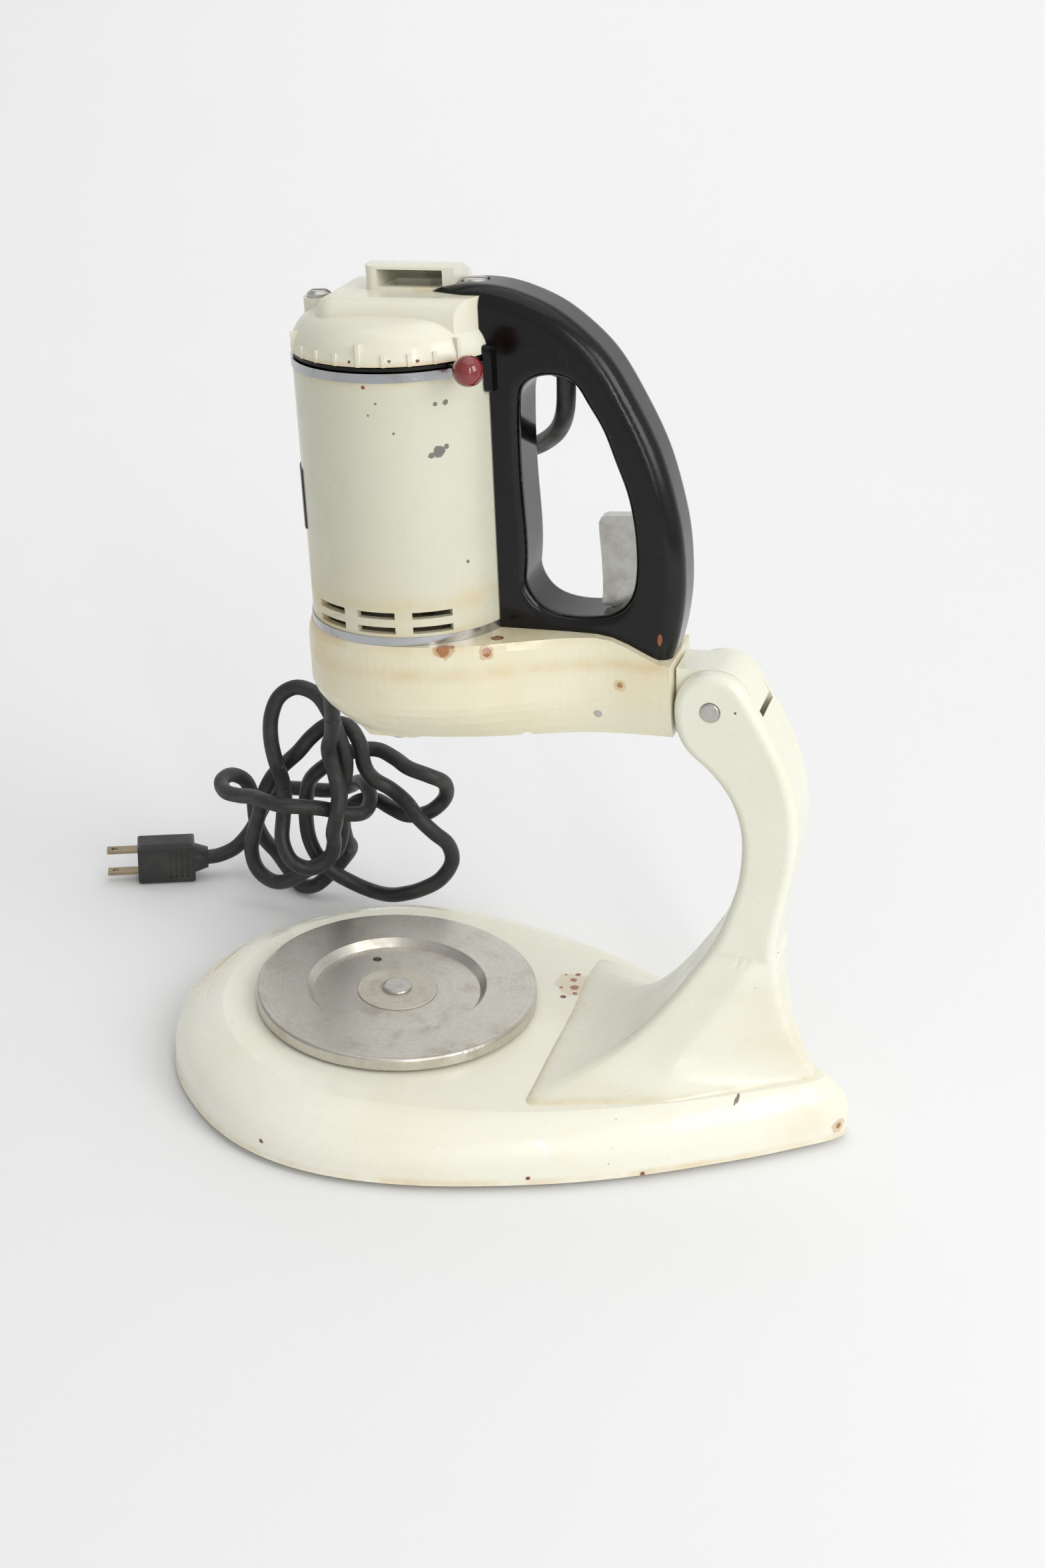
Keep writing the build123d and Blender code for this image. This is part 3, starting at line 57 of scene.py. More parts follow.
# ---------------------------------------------------------------- shader building
class Shader:
    """One procedural material, with a short method for each kind of node."""

    def __init__(self, name):
        self.material = bpy.data.materials.new(name)
        self.material.use_nodes = True
        self.tree = self.material.node_tree
        self.surface = next(n for n in self.tree.nodes if n.type == "BSDF_PRINCIPLED")
        self.place = self.node("ShaderNodeTexCoord").outputs["Object"]

    def node(self, kind, **settings):
        node = self.tree.nodes.new(kind)
        for key, value in settings.items():
            setattr(node, key, value)
        return node

    def put(self, value, socket):
        """Link a socket, or set a plain value."""
        if isinstance(value, bpy.types.NodeSocket):
            self.tree.links.new(value, socket)
        else:
            socket.default_value = value

    def math(self, operation, first, second=0.0, third=None):
        node = self.node("ShaderNodeMath", operation=operation)
        self.put(first, node.inputs[0])
        self.put(second, node.inputs[1])
        if third is not None:
            self.put(third, node.inputs[2])
        return node.outputs[0]

    def times(self, first, second):
        return self.math("MULTIPLY", first, second)

    def union(self, masks):
        return reduce(lambda first, second: self.math("MAXIMUM", first, second), masks)

    def vector(self, operation, first, second=None):
        node = self.node("ShaderNodeVectorMath", operation=operation)
        self.put(first, node.inputs[0])
        if second is not None:
            node.inputs[1].default_value = second
        return node.outputs["Value" if operation in ("LENGTH", "DOT_PRODUCT") else "Vector"]

    def axis(self, letter):
        node = self.node("ShaderNodeSeparateXYZ")
        self.put(self.place, node.inputs[0])
        return node.outputs[letter]

    def noise(self, scale, detail=4.0, rough=0.55, stretch=None, distortion=0.0, source=None):
        node = self.node("ShaderNodeTexNoise")
        source = source or self.place
        if stretch:
            mapping = self.node("ShaderNodeMapping")
            mapping.inputs["Scale"].default_value = stretch
            self.put(source, mapping.inputs["Vector"])
            source = mapping.outputs[0]
        self.put(source, node.inputs["Vector"])
        node.inputs["Scale"].default_value = scale
        node.inputs["Detail"].default_value = detail
        node.inputs["Roughness"].default_value = rough
        node.inputs["Distortion"].default_value = distortion
        return node.outputs["Fac"]

    def wave(self, scale, distortion):
        """Bands stacked along Z."""
        node = self.node("ShaderNodeTexWave", wave_type="BANDS", bands_direction="Z")
        self.put(self.place, node.inputs["Vector"])
        node.inputs["Scale"].default_value = scale
        node.inputs["Distortion"].default_value = distortion
        return node.outputs["Fac"]

    def ramp(self, source, span, out=(0.0, 1.0)):
        """Smooth step that carries the input span onto the out span."""
        node = self.node("ShaderNodeMapRange", interpolation_type="SMOOTHSTEP")
        self.put(source, node.inputs[0])
        for index, value in enumerate((*span, *out), 1):
            node.inputs[index].default_value = value
        return node.outputs[0]

    def mix(self, amount, under, over):
        node = self.node("ShaderNodeMix", data_type="RGBA")
        self.put(amount, node.inputs[0])
        for index, colour in ((6, under), (7, over)):
            self.put((*colour, 1) if isinstance(colour, tuple) else colour, node.inputs[index])
        return node.outputs[2]

    def distance(self, centre, stretch=None):
        offset = self.vector("SUBTRACT", self.place, centre)
        if stretch:
            offset = self.vector("MULTIPLY", offset, stretch)
        return self.vector("LENGTH", offset)

    def spot(self, centre, radius, ragged, scale=None, stretch=None):
        """1 inside a ragged spot, 0 outside."""
        length = self.distance(centre, stretch)
        wobble = self.noise(scale or 0.9 / radius)
        edge = self.math("MULTIPLY_ADD", wobble, -2 * ragged * radius, length)
        return self.ramp(edge, (radius * (0.84 - ragged), radius * (1.0 - ragged)), out=(1, 0))

    def glow(self, centre, radius):
        """1 at the centre, falling smoothly to 0 at the radius, broken up by noise."""
        fade = self.ramp(self.distance(centre), (0.0, radius), out=(1, 0))
        patches = self.ramp(self.noise(1.4 / radius, detail=5), (0.25, 0.75), out=(0.35, 1))
        return self.times(fade, patches)

    def bump(self, height, depth, strength, normal=None):
        node = self.node("ShaderNodeBump")
        node.inputs["Strength"].default_value = strength
        node.inputs["Distance"].default_value = depth
        self.put(height, node.inputs["Height"])
        if normal is not None:
            self.put(normal, node.inputs["Normal"])
        return node.outputs[0]

    def finish(self, colour, rough, normal, metallic=0.0, coat=0.0, specular=0.5):
        values = {"Base Color": colour, "Roughness": rough, "Metallic": metallic,
                  "Specular IOR Level": specular, "Coat Weight": coat,
                  "Coat Roughness": 0.08, "Normal": normal}
        for key, value in values.items():
            self.put(value, self.surface.inputs[key])
        return self.material


def shade(colour, *factors):
    return tuple(part * factor for part, factor in zip(colour, factors))


# ---------------------------------------------------------------- kinds of material
def enamel(name, base, rust, yellowed, seams, chips=(), stains=(), hairlines=()):
    """Old enamel: mottled, yellowed and dirty, chipped to metal and rusted."""
    mat = Shader(name)
    broad = mat.ramp(mat.noise(scale=14.0, detail=3), (0.30, 0.75))
    colour = mat.mix(broad, base, shade(base, 0.97, 0.955, 0.915))
    mottle = mat.noise(scale=70.0, detail=5)
    colour = mat.mix(mat.ramp(mottle, (0.50, 0.80), out=(0, 0.25)), colour,
                     shade(base, 0.92, 0.87, 0.76))
    for centre, radius, strength in yellowed:
        patch = mat.times(mat.glow(centre, radius * 1.5), strength)
        colour = mat.mix(patch, colour, (0.72, 0.52, 0.22))
    for normal, level, width, strength in seams:
        height = mat.vector("DOT_PRODUCT", mat.place, normal)
        gap = mat.math("ABSOLUTE", mat.math("SUBTRACT", height, level))
        near = mat.ramp(gap, (0.0, width), out=(1, 0))
        patch = mat.ramp(mat.noise(scale=60.0, detail=5), (0.30, 0.75), out=(0.12, 1))
        grime = mat.times(mat.times(near, patch), strength)
        colour = mat.mix(grime, colour, (0.62, 0.43, 0.17))
    # dirt specks, gathered in broad patches
    speck = mat.ramp(mat.noise(scale=520.0, detail=2, rough=0.5), (0.735, 0.765))
    gate = mat.ramp(mat.noise(scale=24.0, detail=2), (0.52, 0.66))
    colour = mat.mix(mat.times(speck, mat.times(gate, 0.75)), colour, (0.16, 0.10, 0.05))
    # scattered chips, then the placed ones
    chip = mat.times(mat.ramp(mat.noise(scale=210.0, detail=3, rough=0.6), (0.775, 0.79)),
                     mat.ramp(mat.noise(scale=15.0, detail=2), (0.60, 0.66)))
    for centre, radius in chips:
        chip = mat.union((chip, mat.spot(centre, radius, ragged=0.42)))
    colour = mat.mix(chip, colour, (0.20, 0.19, 0.175))
    rusted = mat.union(mat.spot(centre, radius, ragged=0.4) for centre, radius in rust)
    rust_colour = mat.mix(mat.ramp(mat.noise(scale=900.0, detail=3), (0.4, 0.6)),
                          (0.15, 0.035, 0.015), (0.30, 0.10, 0.035))
    colour = mat.mix(rusted, colour, rust_colour)
    for centre, radius, tint, strength in stains:
        stain = mat.spot(centre, radius, ragged=0.5, scale=1.4 / radius)
        colour = mat.mix(mat.times(stain, strength), colour, tint)
    if hairlines:
        line = mat.union(mat.spot(centre, radius, ragged=0.25, scale=900.0, stretch=stretch)
                         for centre, stretch, radius in hairlines)
        colour = mat.mix(mat.times(line, 0.85), colour, (0.10, 0.04, 0.02))
    scratch = mat.ramp(mat.noise(scale=90.0, detail=2, stretch=(1, 1, 14)), (0.72, 0.78),
                       out=(0, 0.3))
    rough = mat.math("ADD", mat.ramp(mottle, (0.3, 0.8), out=(0.24, 0.42)),
                     mat.times(chip, 0.25))
    ripple = mat.bump(mat.noise(scale=260.0, detail=2), depth=0.00006, strength=0.5)
    relief = mat.math("SUBTRACT", mat.times(chip, -1.0), mat.times(scratch, 0.2))
    relief = mat.bump(relief, depth=0.00012, strength=0.8, normal=ripple)
    return mat.finish(colour, rough, relief, metallic=mat.times(chip, 0.5), coat=0.25)


def steel(name, base, rough, stain, brush=(1, 1, 1), metallic=1.0, rings=None, rust=0.0):
    """Stained metal, brushed, or turned in rings about Z (rings is their frequency)."""
    mat = Shader(name)
    stained = mat.ramp(mat.noise(scale=60.0, detail=6, rough=0.65), (0.46, 0.74))
    colour = mat.mix(mat.times(stained, stain), base, shade(base, 0.55, 0.47, 0.36))
    fine = mat.noise(scale=420.0, detail=3, rough=0.6, stretch=brush)
    colour = mat.mix(mat.ramp(fine, (0.35, 0.7), out=(0, 0.28)), colour,
                     shade(base, 0.72, 0.71, 0.69))
    height = fine
    if rings is not None:
        radius = mat.vector("LENGTH", mat.vector("MULTIPLY", mat.place, (1, 1, 0)))
        along = mat.node("ShaderNodeCombineXYZ")
        mat.put(mat.times(radius, rings), along.inputs[0])
        height = mat.noise(scale=1.0, detail=3, rough=0.5, source=along.outputs[0])
        colour = mat.mix(mat.ramp(height, (0.35, 0.7), out=(0, 0.22)), colour,
                         shade(base, 0.6, 0.58, 0.54))
    if rust:
        rusted = mat.times(mat.ramp(mat.noise(scale=330.0), (0.66, 0.72)),
                           mat.ramp(mat.noise(scale=30.0, detail=2), (0.45, 0.62), out=(0, rust)))
        colour = mat.mix(rusted, colour, (0.20, 0.09, 0.04))
    rough = mat.math("ADD", mat.ramp(stained, (0, 1), out=(rough, rough + 0.16)),
                     mat.times(fine, 0.08))
    return mat.finish(colour, rough, mat.bump(height, depth=0.00005, strength=0.5), metallic)


def plastic(name, base, rough, scratch, dust, coat=0.3, marks=(), specular=0.5):
    """Moulded plastic or rubber with crossed scratches and a film of dust."""
    mat = Shader(name)
    upright = mat.noise(scale=55.0, detail=2, rough=0.5, stretch=(1, 3, 18))
    upright = mat.ramp(upright, (0.68, 0.76))
    level = mat.noise(scale=60.0, detail=2, rough=0.5, stretch=(16, 2, 1.5))
    level = mat.ramp(level, (0.70, 0.77))
    scratched = mat.times(mat.union((upright, level)), scratch)
    film = mat.ramp(mat.noise(scale=26.0, detail=6, rough=0.6), (0.45, 0.85), out=(0, dust))
    colour = mat.mix(film, base, (0.32, 0.29, 0.25))
    worn = (base[0] + 0.05, base[1] + 0.05, base[2] + 0.045)
    colour = mat.mix(mat.times(scratched, 0.35), colour, worn)
    for centre, radius, tint, stretch in marks:
        mark = mat.spot(centre, radius, ragged=0.4, scale=1.2 / radius, stretch=stretch)
        colour = mat.mix(mat.times(mark, 0.8), colour, tint)
    speck = mat.times(mat.ramp(mat.noise(scale=800.0, detail=2), (0.74, 0.78)),
                      mat.ramp(mat.noise(scale=22.0, detail=2), (0.5, 0.7)))
    colour = mat.mix(mat.times(speck, 0.5), colour, (0.35, 0.31, 0.25))
    sheen = mat.ramp(mat.noise(scale=40.0, detail=5), (0.3, 0.8), out=(rough, rough + 0.18))
    rough = mat.math("ADD", sheen, mat.times(scratched, 0.3))
    grain = mat.bump(mat.noise(scale=300.0, detail=2), depth=0.00003, strength=0.4)
    relief = mat.bump(scratched, depth=0.00005, strength=0.5, normal=grain)
    return mat.finish(colour, rough, relief, coat=coat, specular=specular)


def cord_rubber():
    mat = Shader("cord_rubber")
    dust = mat.ramp(mat.noise(scale=55.0, detail=6, rough=0.65), (0.42, 0.82), out=(0, 0.30))
    colour = mat.mix(dust, (0.018, 0.018, 0.019), (0.13, 0.12, 0.105))
    cracks = mat.ramp(mat.noise(scale=380.0, rough=0.6, distortion=1.2), (0.62, 0.74))
    colour = mat.mix(mat.times(cracks, 0.4), colour, (0.20, 0.18, 0.15))
    rough = mat.ramp(mat.noise(scale=90.0, detail=3), (0.3, 0.8), out=(0.36, 0.62))
    return mat.finish(colour, rough, mat.bump(mat.noise(scale=520.0), depth=0.0001, strength=0.6))


def fibre():
    mat = Shader("fibre")
    grain = mat.noise(scale=340.0, detail=5, rough=0.7)
    colour = mat.mix(mat.ramp(grain, (0.35, 0.7)), (0.20, 0.12, 0.06), (0.32, 0.21, 0.11))
    return mat.finish(colour, 0.75, mat.bump(grain, depth=0.0001, strength=0.6))


def copper_coil():
    mat = Shader("copper_coil")
    turns = mat.wave(scale=420.0, distortion=2.0)
    colour = mat.mix(mat.ramp(turns, (0.2, 0.8)), (0.25, 0.09, 0.035), (0.48, 0.20, 0.08))
    relief = mat.bump(turns, depth=0.0003, strength=0.8)
    return mat.finish(colour, 0.35, relief, metallic=0.5, coat=0.3)


def field_iron():
    """Stacked iron sheets with rust patches."""
    mat = Shader("field_iron")
    sheets = mat.wave(scale=500.0, distortion=0.3)
    colour = mat.mix(sheets, (0.09, 0.09, 0.095), (0.2, 0.2, 0.205))
    rusted = mat.ramp(mat.noise(scale=120.0, detail=5), (0.62, 0.72), out=(0, 0.6))
    colour = mat.mix(rusted, colour, (0.18, 0.08, 0.04))
    relief = mat.bump(sheets, depth=0.0002, strength=0.6)
    return mat.finish(colour, 0.5, relief, metallic=0.7)


def blank_badge():
    """Worn silver face inside a dark border; the spans are where the border begins."""
    mat = Shader("badge_blank")
    across = mat.math("ABSOLUTE", mat.axis("Y"))
    upward = mat.math("ABSOLUTE", mat.math("SUBTRACT", mat.axis("Z"), 0.2738))
    border = mat.union((mat.ramp(across, (0.0196, 0.0202)), mat.ramp(upward, (0.0098, 0.0104))))
    worn = mat.ramp(mat.noise(scale=140.0, detail=5), (0.35, 0.75))
    colour = mat.mix(worn, (0.55, 0.54, 0.50), (0.36, 0.34, 0.30))
    colour = mat.mix(border, colour, (0.02, 0.02, 0.02))
    metallic = mat.math("SUBTRACT", 0.9, mat.times(border, 0.9))
    relief = mat.bump(border, depth=0.0002, strength=0.6)
    return mat.finish(colour, 0.34, relief, metallic)


# ---------------------------------------------------------------- places on the tilted head
PIVOT_X, PIVOT_Z = 139.5, 203.5            # mm
TILT_COS, TILT_SIN = 0.997096, 0.076162
HEAD_UP = (-0.07616, 0.0, 0.99710)
HEAD_AXIS_X = 9.3                          # mm, upright axis of the level head


def on_head(x, y, z):
    """Millimetres on the level head to world metres at rest."""
    dx, dz = x - PIVOT_X, z - PIVOT_Z
    return ((PIVOT_X + TILT_COS * dx - TILT_SIN * dz) / 1000, y / 1000,
            (PIVOT_Z + TILT_SIN * dx + TILT_COS * dz) / 1000)


def head_seam(z, width, strength):
    """Grime band square to the head's axis, at level height z in mm."""
    level = Vector(on_head(HEAD_AXIS_X, 0, z)).dot(Vector(HEAD_UP))
    return HEAD_UP, level, width, strength


# ---------------------------------------------------------------- enamels
# chips, rust: centre, radius        yellowed: centre, radius, strength
# stains: centre, radius, colour, strength        hairlines: centre, stretch, radius
# seams: plane normal, distance along it, width, strength
# motor housing: a darker copy of the ivory enamel; its lower base colour is painted shade
ivory_head_shaded = enamel(
    "ivory_head_shaded", base=(0.66, 0.655, 0.53),
    chips=[
        ((0.0255, -0.0349, 0.3242), 0.001), ((0.022, -0.0365, 0.324), 0.0007),
        ((0.029, -0.0325, 0.3245), 0.0013), ((0.0272, -0.0345, 0.3052), 0.0026),
        ((0.0245, -0.036, 0.3036), 0.0016), ((0.03, -0.033, 0.307), 0.0012),
        ((0.001, -0.044, 0.319), 0.0007), ((0.005, -0.044, 0.313), 0.0006),
        ((0.011, -0.042, 0.3125), 0.0007), ((0.0381, -0.0278, 0.2586), 0.0008),
        ((0.004, -0.0436, 0.324), 0.0006)],
    rust=[((-0.001, -0.0438, 0.33), 0.0009)],
    yellowed=[
        (on_head(-22, -30, 247), 0.016, 0.45), (on_head(-30, -20, 262), 0.018, 0.22),
        (on_head(12, -43, 240), 0.022, 0.20), (on_head(44, -28, 250), 0.010, 0.30),
        (on_head(0, -44, 258), 0.016, 0.12)],
    seams=[head_seam(249.5, 0.007, 0.40), head_seam(237.8, 0.004, 0.55),
           head_seam(341.5, 0.003, 0.35)])
ivory_case = enamel(
    "ivory_case", base=(0.79, 0.765, 0.60),
    chips=[((0.03, -0.043, 0.215), 0.0007)],
    rust=[
        ((0.0329, -0.0418, 0.2247), 0.003), ((0.0512, -0.027, 0.2269), 0.0028),
        ((0.0496, -0.0364, 0.2239), 0.0021), ((0.1016, -0.0185, 0.2102), 0.0014),
        ((0.086, -0.02, 0.212), 0.0006), ((0.036, -0.04, 0.2262), 0.0014)],
    stains=[
        ((0.0329, -0.0418, 0.2247), 0.0045, (0.45, 0.22, 0.08), 0.6),
        ((0.0496, -0.0364, 0.2239), 0.0034, (0.45, 0.22, 0.08), 0.5),
        ((0.0922, -0.0128, 0.1944), 0.0034, (0.55, 0.36, 0.15), 0.6),
        ((0.1016, -0.0185, 0.2102), 0.003, (0.55, 0.36, 0.15), 0.5)],
    yellowed=[
        (on_head(-28, -28, 226), 0.022, 0.60), (on_head(10, -44, 226), 0.026, 0.30),
        (on_head(60, -28, 218), 0.034, 0.28), (on_head(108, -16, 222), 0.020, 0.45),
        (on_head(-10, -30, 205), 0.024, 0.30)],
    seams=[head_seam(221.8, 0.005, 0.50), head_seam(233, 0.004, 0.40)])
ivory_cap = enamel(
    "ivory_cap", base=(0.79, 0.775, 0.655),
    chips=[(on_head(-24, -30, 352), 0.0008), (on_head(20, -42.5, 350.5), 0.0007)],
    rust=[(on_head(-30, -20, 350), 0.0008), (on_head(-10, -40, 350), 0.0007),
          (on_head(30, -38, 350), 0.0009), (on_head(4, -43, 350), 0.0008)],
    yellowed=[(on_head(44, -12, 368), 0.008, 0.4), (on_head(24, -6, 371), 0.006, 0.5)],
    seams=[head_seam(348.4, 0.0022, 0.65)])
ivory_stand = enamel(
    "ivory_stand", base=(0.88, 0.87, 0.76),
    rust=[
        ((0.0738, 0.0416, 0.03), 0.0018), ((0.073, 0.0254, 0.03), 0.0016),
        ((0.076, 0.035, 0.03), 0.0022), ((0.0745, 0.047, 0.03), 0.0015),
        ((0.07, 0.033, 0.03), 0.001), ((0.0775, 0.03, 0.03), 0.0014),
        ((0.08, 0.044, 0.03), 0.0009), ((0.069, 0.045, 0.03), 0.0008),
        ((-0.0258, -0.1022, 0.0113), 0.0012), ((0.0889, -0.0847, 0.0066), 0.0011),
        ((0.1337, -0.062, 0.004), 0.0012), ((0.2092, -0.0065, 0.0098), 0.0016),
        ((-0.09, -0.045, 0.012), 0.0013), ((-0.097, -0.025, 0.01), 0.0012)],
    stains=[((0.075, 0.038, 0.03), 0.011, (0.60, 0.36, 0.16), 0.35),
            ((0.2092, -0.0065, 0.0098), 0.004, (0.5, 0.28, 0.10), 0.5)],
    hairlines=[((0.1668, -0.0286, 0.029), (2.2, 0.55, 0.55), 0.0016),
               ((0.166, -0.03, 0.027), (2.6, 0.6, 0.5), 0.0014)],
    yellowed=[((0.2, -0.02, 0.02), 0.020, 0.30), ((-0.095, 0, 0.02), 0.03, 0.15),
              ((0.04, -0.09, 0.01), 0.03, 0.18)],
    seams=[((0, 0, 1), 0.0045, 0.003, 0.55)])
ivory_column = enamel(
    "ivory_column", base=(0.82, 0.815, 0.70),
    chips=[((0.146, -0.018, 0.168), 0.0006)],
    rust=[((0.15, -0.018, 0.205), 0.0006)],
    yellowed=[((0.175, -0.01, 0.06), 0.02, 0.22), ((0.192, -0.004, 0.045), 0.014, 0.30)],
    seams=[((0, 0, 1), 0.0305, 0.0016, 0.45)])

# ---------------------------------------------------------------- other materials, by slot
HANDLE_RUST = ((0.1162, -0.0142, 0.2307), 0.0016, (0.35, 0.10, 0.03), (1.6, 1, 0.6))
PLASTICS = {
    "handle_black": dict(base=(0.003, 0.003, 0.003), rough=0.09, scratch=0.35, dust=0.012,
                         coat=0.0, specular=0.34, marks=[HANDLE_RUST]),
    "base_plate": dict(base=(0.035, 0.033, 0.03), rough=0.5, scratch=0.3, dust=0.4, coat=0.0),
    "rubber": dict(base=(0.02, 0.02, 0.02), rough=0.65, scratch=0.1, dust=0.35),
    "plug_black": dict(base=(0.014, 0.014, 0.014), rough=0.42, scratch=0.25, dust=0.18,
                       coat=0.05),
    "carbon": dict(base=(0.03, 0.03, 0.03), rough=0.6, scratch=0.1, dust=0.1),
    "red_knob": dict(base=(0.20, 0.008, 0.008), rough=0.1, scratch=0.12, dust=0.03, coat=0.9),
}
for flat_name in ("rubber", "carbon"):
    PLASTICS[flat_name]["coat"] = 0.0
STEELS = {
    "dull_steel": dict(base=(0.66, 0.635, 0.575), rough=0.27, stain=0.45, rings=900, rust=0.5),
    "worn_plate": dict(base=(0.60, 0.57, 0.49), rough=0.5, stain=0.5, metallic=0.3, rings=700),
    "bolt_steel": dict(base=(0.42, 0.40, 0.37), rough=0.38, stain=0.6, rust=0.9),
    "chrome_trim": dict(base=(0.50, 0.51, 0.53), rough=0.08, stain=0.55, brush=(1, 1, 8),
                        rust=0.8),
    "bright_steel": dict(base=(0.55, 0.54, 0.51), rough=0.22, stain=0.4, rust=0.3),
    "brass": dict(base=(0.36, 0.29, 0.19), rough=0.32, stain=0.6),
    "cast_alloy": dict(base=(0.50, 0.50, 0.49), rough=0.45, stain=0.4),
}
slots = {"ivory_enamel": ivory_head_shaded}
for kind, table in ((plastic, PLASTICS), (steel, STEELS)):
    for name, look in table.items():
        slots[name] = kind(name, **look)
for kind in (cord_rubber, fibre, copper_coil, field_iron):
    slots[kind.__name__] = kind()
# speed lever ring: its near-black colour is painted shade in the gap under the cap
gap_shade_ring = steel("gap_shade_ring_steel", base=(0.035, 0.033, 0.03), rough=0.38, stain=0.4, rust=0.6)

# pieces whose material differs from their slot's
OWN_MATERIAL = {
    "base_shell": ivory_stand, "column": ivory_column, "tilt_bracket": ivory_column,
    "gearcase_lower": ivory_case, "gearcase_upper": ivory_case, "motor_housing": ivory_head_shaded,
    "end_cap": ivory_cap, "speed_lever": gap_shade_ring, "badge_plate": blank_badge(),
}
slot_of = {part["node"]: part["material_slot"] for part in frame["record"]["subparts"]}
for name, piece in pieces.items():
    material = OWN_MATERIAL.get(name) or slots[slot_of[name]]
    piece.data.materials.clear()
    piece.data.materials.append(material)

# soft edges in the shading of the larger shells
for name in ("base_shell", "column", "tilt_bracket", "gearcase_lower", "gearcase_upper",
             "handle", "end_cap", "motor_housing", "plug_body"):
    for polygon in pieces[name].data.polygons:
        polygon.use_smooth = True
    modifier = pieces[name].modifiers.new("edge_normals", "WEIGHTED_NORMAL")
    modifier.keep_sharp = True

# ---------------------------------------------------------------- power cord
# centre line from the head down into the heap: x, y, z in mm
CORD = [
    (-50.3, 61.3, 203.2), (-51.9, 62.5, 193.4), (-53.7, 63.9, 182.2), (-55.7, 65.6, 171.1),
    (-57.9, 68.4, 160.3), (-59.7, 71.8, 149.7), (-60.6, 75.1, 138.9), (-61.3, 78.4, 127.6),
    (-63.7, 83.1, 117.2), (-67.8, 89.9, 108.9), (-70.4, 96.7, 100.2), (-68.4, 98.9, 89.4),
    (-64.6, 94.8, 79.4), (-64.4, 90.6, 68.9), (-67.1, 93.4, 58.4), (-69.0, 99.7, 49.0),
    (-72.6, 102.2, 38.5), (-81.2, 99.7, 32.3), (-91.0, 97.1, 35.7), (-96.9, 98.8, 45.3),
    (-98.3, 103.4, 55.9), (-98.3, 106.1, 67.1), (-99.0, 104.2, 78.5), (-100.9, 101.1, 89.4),
    (-103.2, 101.2, 100.8), (-103.9, 103.7, 112.1), (-100.3, 106.0, 122.8),
    (-91.3, 107.2, 128.8), (-80.9, 107.8, 126.0), (-74.0, 107.5, 116.9), (-69.2, 106.6, 106.5),
    (-65.6, 106.5, 95.6), (-66.2, 108.3, 84.3), (-69.5, 110.6, 73.6), (-70.4, 111.7, 62.2),
    (-69.3, 111.4, 50.7), (-71.9, 110.9, 39.6), (-79.5, 110.1, 31.4), (-88.4, 109.5, 24.6),
    (-97.1, 109.9, 17.5), (-107.3, 111.2, 13.9), (-116.9, 112.6, 18.6), (-120.3, 112.9, 29.4),
    (-118.2, 112.1, 40.8), (-115.1, 111.9, 52.0), (-112.8, 113.4, 63.2), (-108.3, 114.7, 73.5),
    (-101.0, 113.9, 82.1), (-93.4, 113.1, 90.4), (-86.6, 114.9, 99.3), (-78.2, 117.3, 106.4),
    (-67.5, 116.2, 107.4), (-60.0, 112.9, 100.1), (-57.9, 113.2, 88.8), (-55.0, 118.7, 79.3),
    (-46.8, 122.1, 73.2), (-37.2, 118.5, 69.1), (-28.9, 113.7, 63.7), (-20.7, 114.6, 56.3),
    (-14.6, 119.6, 48.0), (-13.3, 122.2, 37.1), (-18.5, 119.8, 27.3), (-27.4, 116.6, 21.5),
    (-37.4, 116.8, 16.7), (-47.1, 120.3, 12.6), (-57.5, 123.3, 11.5), (-68.0, 122.8, 14.7),
    (-77.0, 119.8, 20.7), (-84.9, 118.4, 28.6), (-91.1, 120.8, 37.9), (-94.2, 124.7, 48.3),
    (-94.2, 125.7, 59.8), (-90.9, 122.6, 70.4), (-84.2, 119.2, 79.0), (-75.6, 120.6, 85.9),
    (-66.8, 126.1, 89.8), (-56.5, 129.5, 90.4), (-46.3, 126.1, 88.9), (-36.8, 120.6, 87.3),
    (-26.3, 120.4, 85.0), (-19.4, 126.4, 79.0), (-20.3, 130.3, 68.7), (-27.6, 127.0, 61.0),
    (-37.7, 123.4, 59.1), (-48.0, 126.5, 60.1), (-57.8, 131.4, 60.6), (-68.0, 129.4, 58.6),
    (-72.6, 122.9, 51.2), (-71.5, 123.1, 40.2), (-71.5, 130.2, 31.4), (-76.4, 134.4, 22.5),
    (-82.8, 130.8, 13.9), (-90.4, 127.2, 6.6), (-100.3, 130.1, 4.0), (-108.7, 135.4, 8.7),
    (-115.8, 136.0, 17.4), (-121.6, 132.7, 26.6), (-125.3, 131.1, 37.3), (-127.1, 132.3, 48.8),
    (-130.4, 130.8, 59.6), (-135.0, 123.1, 66.0), (-135.9, 112.3, 66.9), (-129.9, 103.5, 66.1),
    (-120.1, 98.7, 67.7), (-110.8, 93.9, 70.9), (-101.8, 88.0, 72.9), (-91.2, 86.1, 72.9),
    (-81.4, 90.5, 71.8), (-72.4, 96.3, 69.4), (-63.2, 101.3, 65.9), (-56.5, 109.5, 64.2),
    (-57.0, 120.0, 66.6), (-62.6, 129.2, 69.2), (-69.5, 137.3, 66.5), (-76.7, 143.1, 60.1),
    (-86.2, 145.6, 54.9), (-97.1, 145.9, 53.1), (-108.0, 146.5, 51.9), (-118.4, 149.1, 48.8),
    (-125.5, 149.8, 42.0), (-130.0, 147.6, 32.5), (-134.0, 143.2, 23.2), (-139.8, 137.6, 15.6),
    (-146.8, 132.4, 12.2), (-152.6, 128.8, 11.6), (-157.0, 126.7, 11.6),
]
STEPS_PER_SPAN = 5
SPLIT = 34             # path index; the cord before it hangs from the head
HEAP_RADIUS = 0.0039
HANGING_RADIUS = 0.00388
TUBE_SIDES = 20


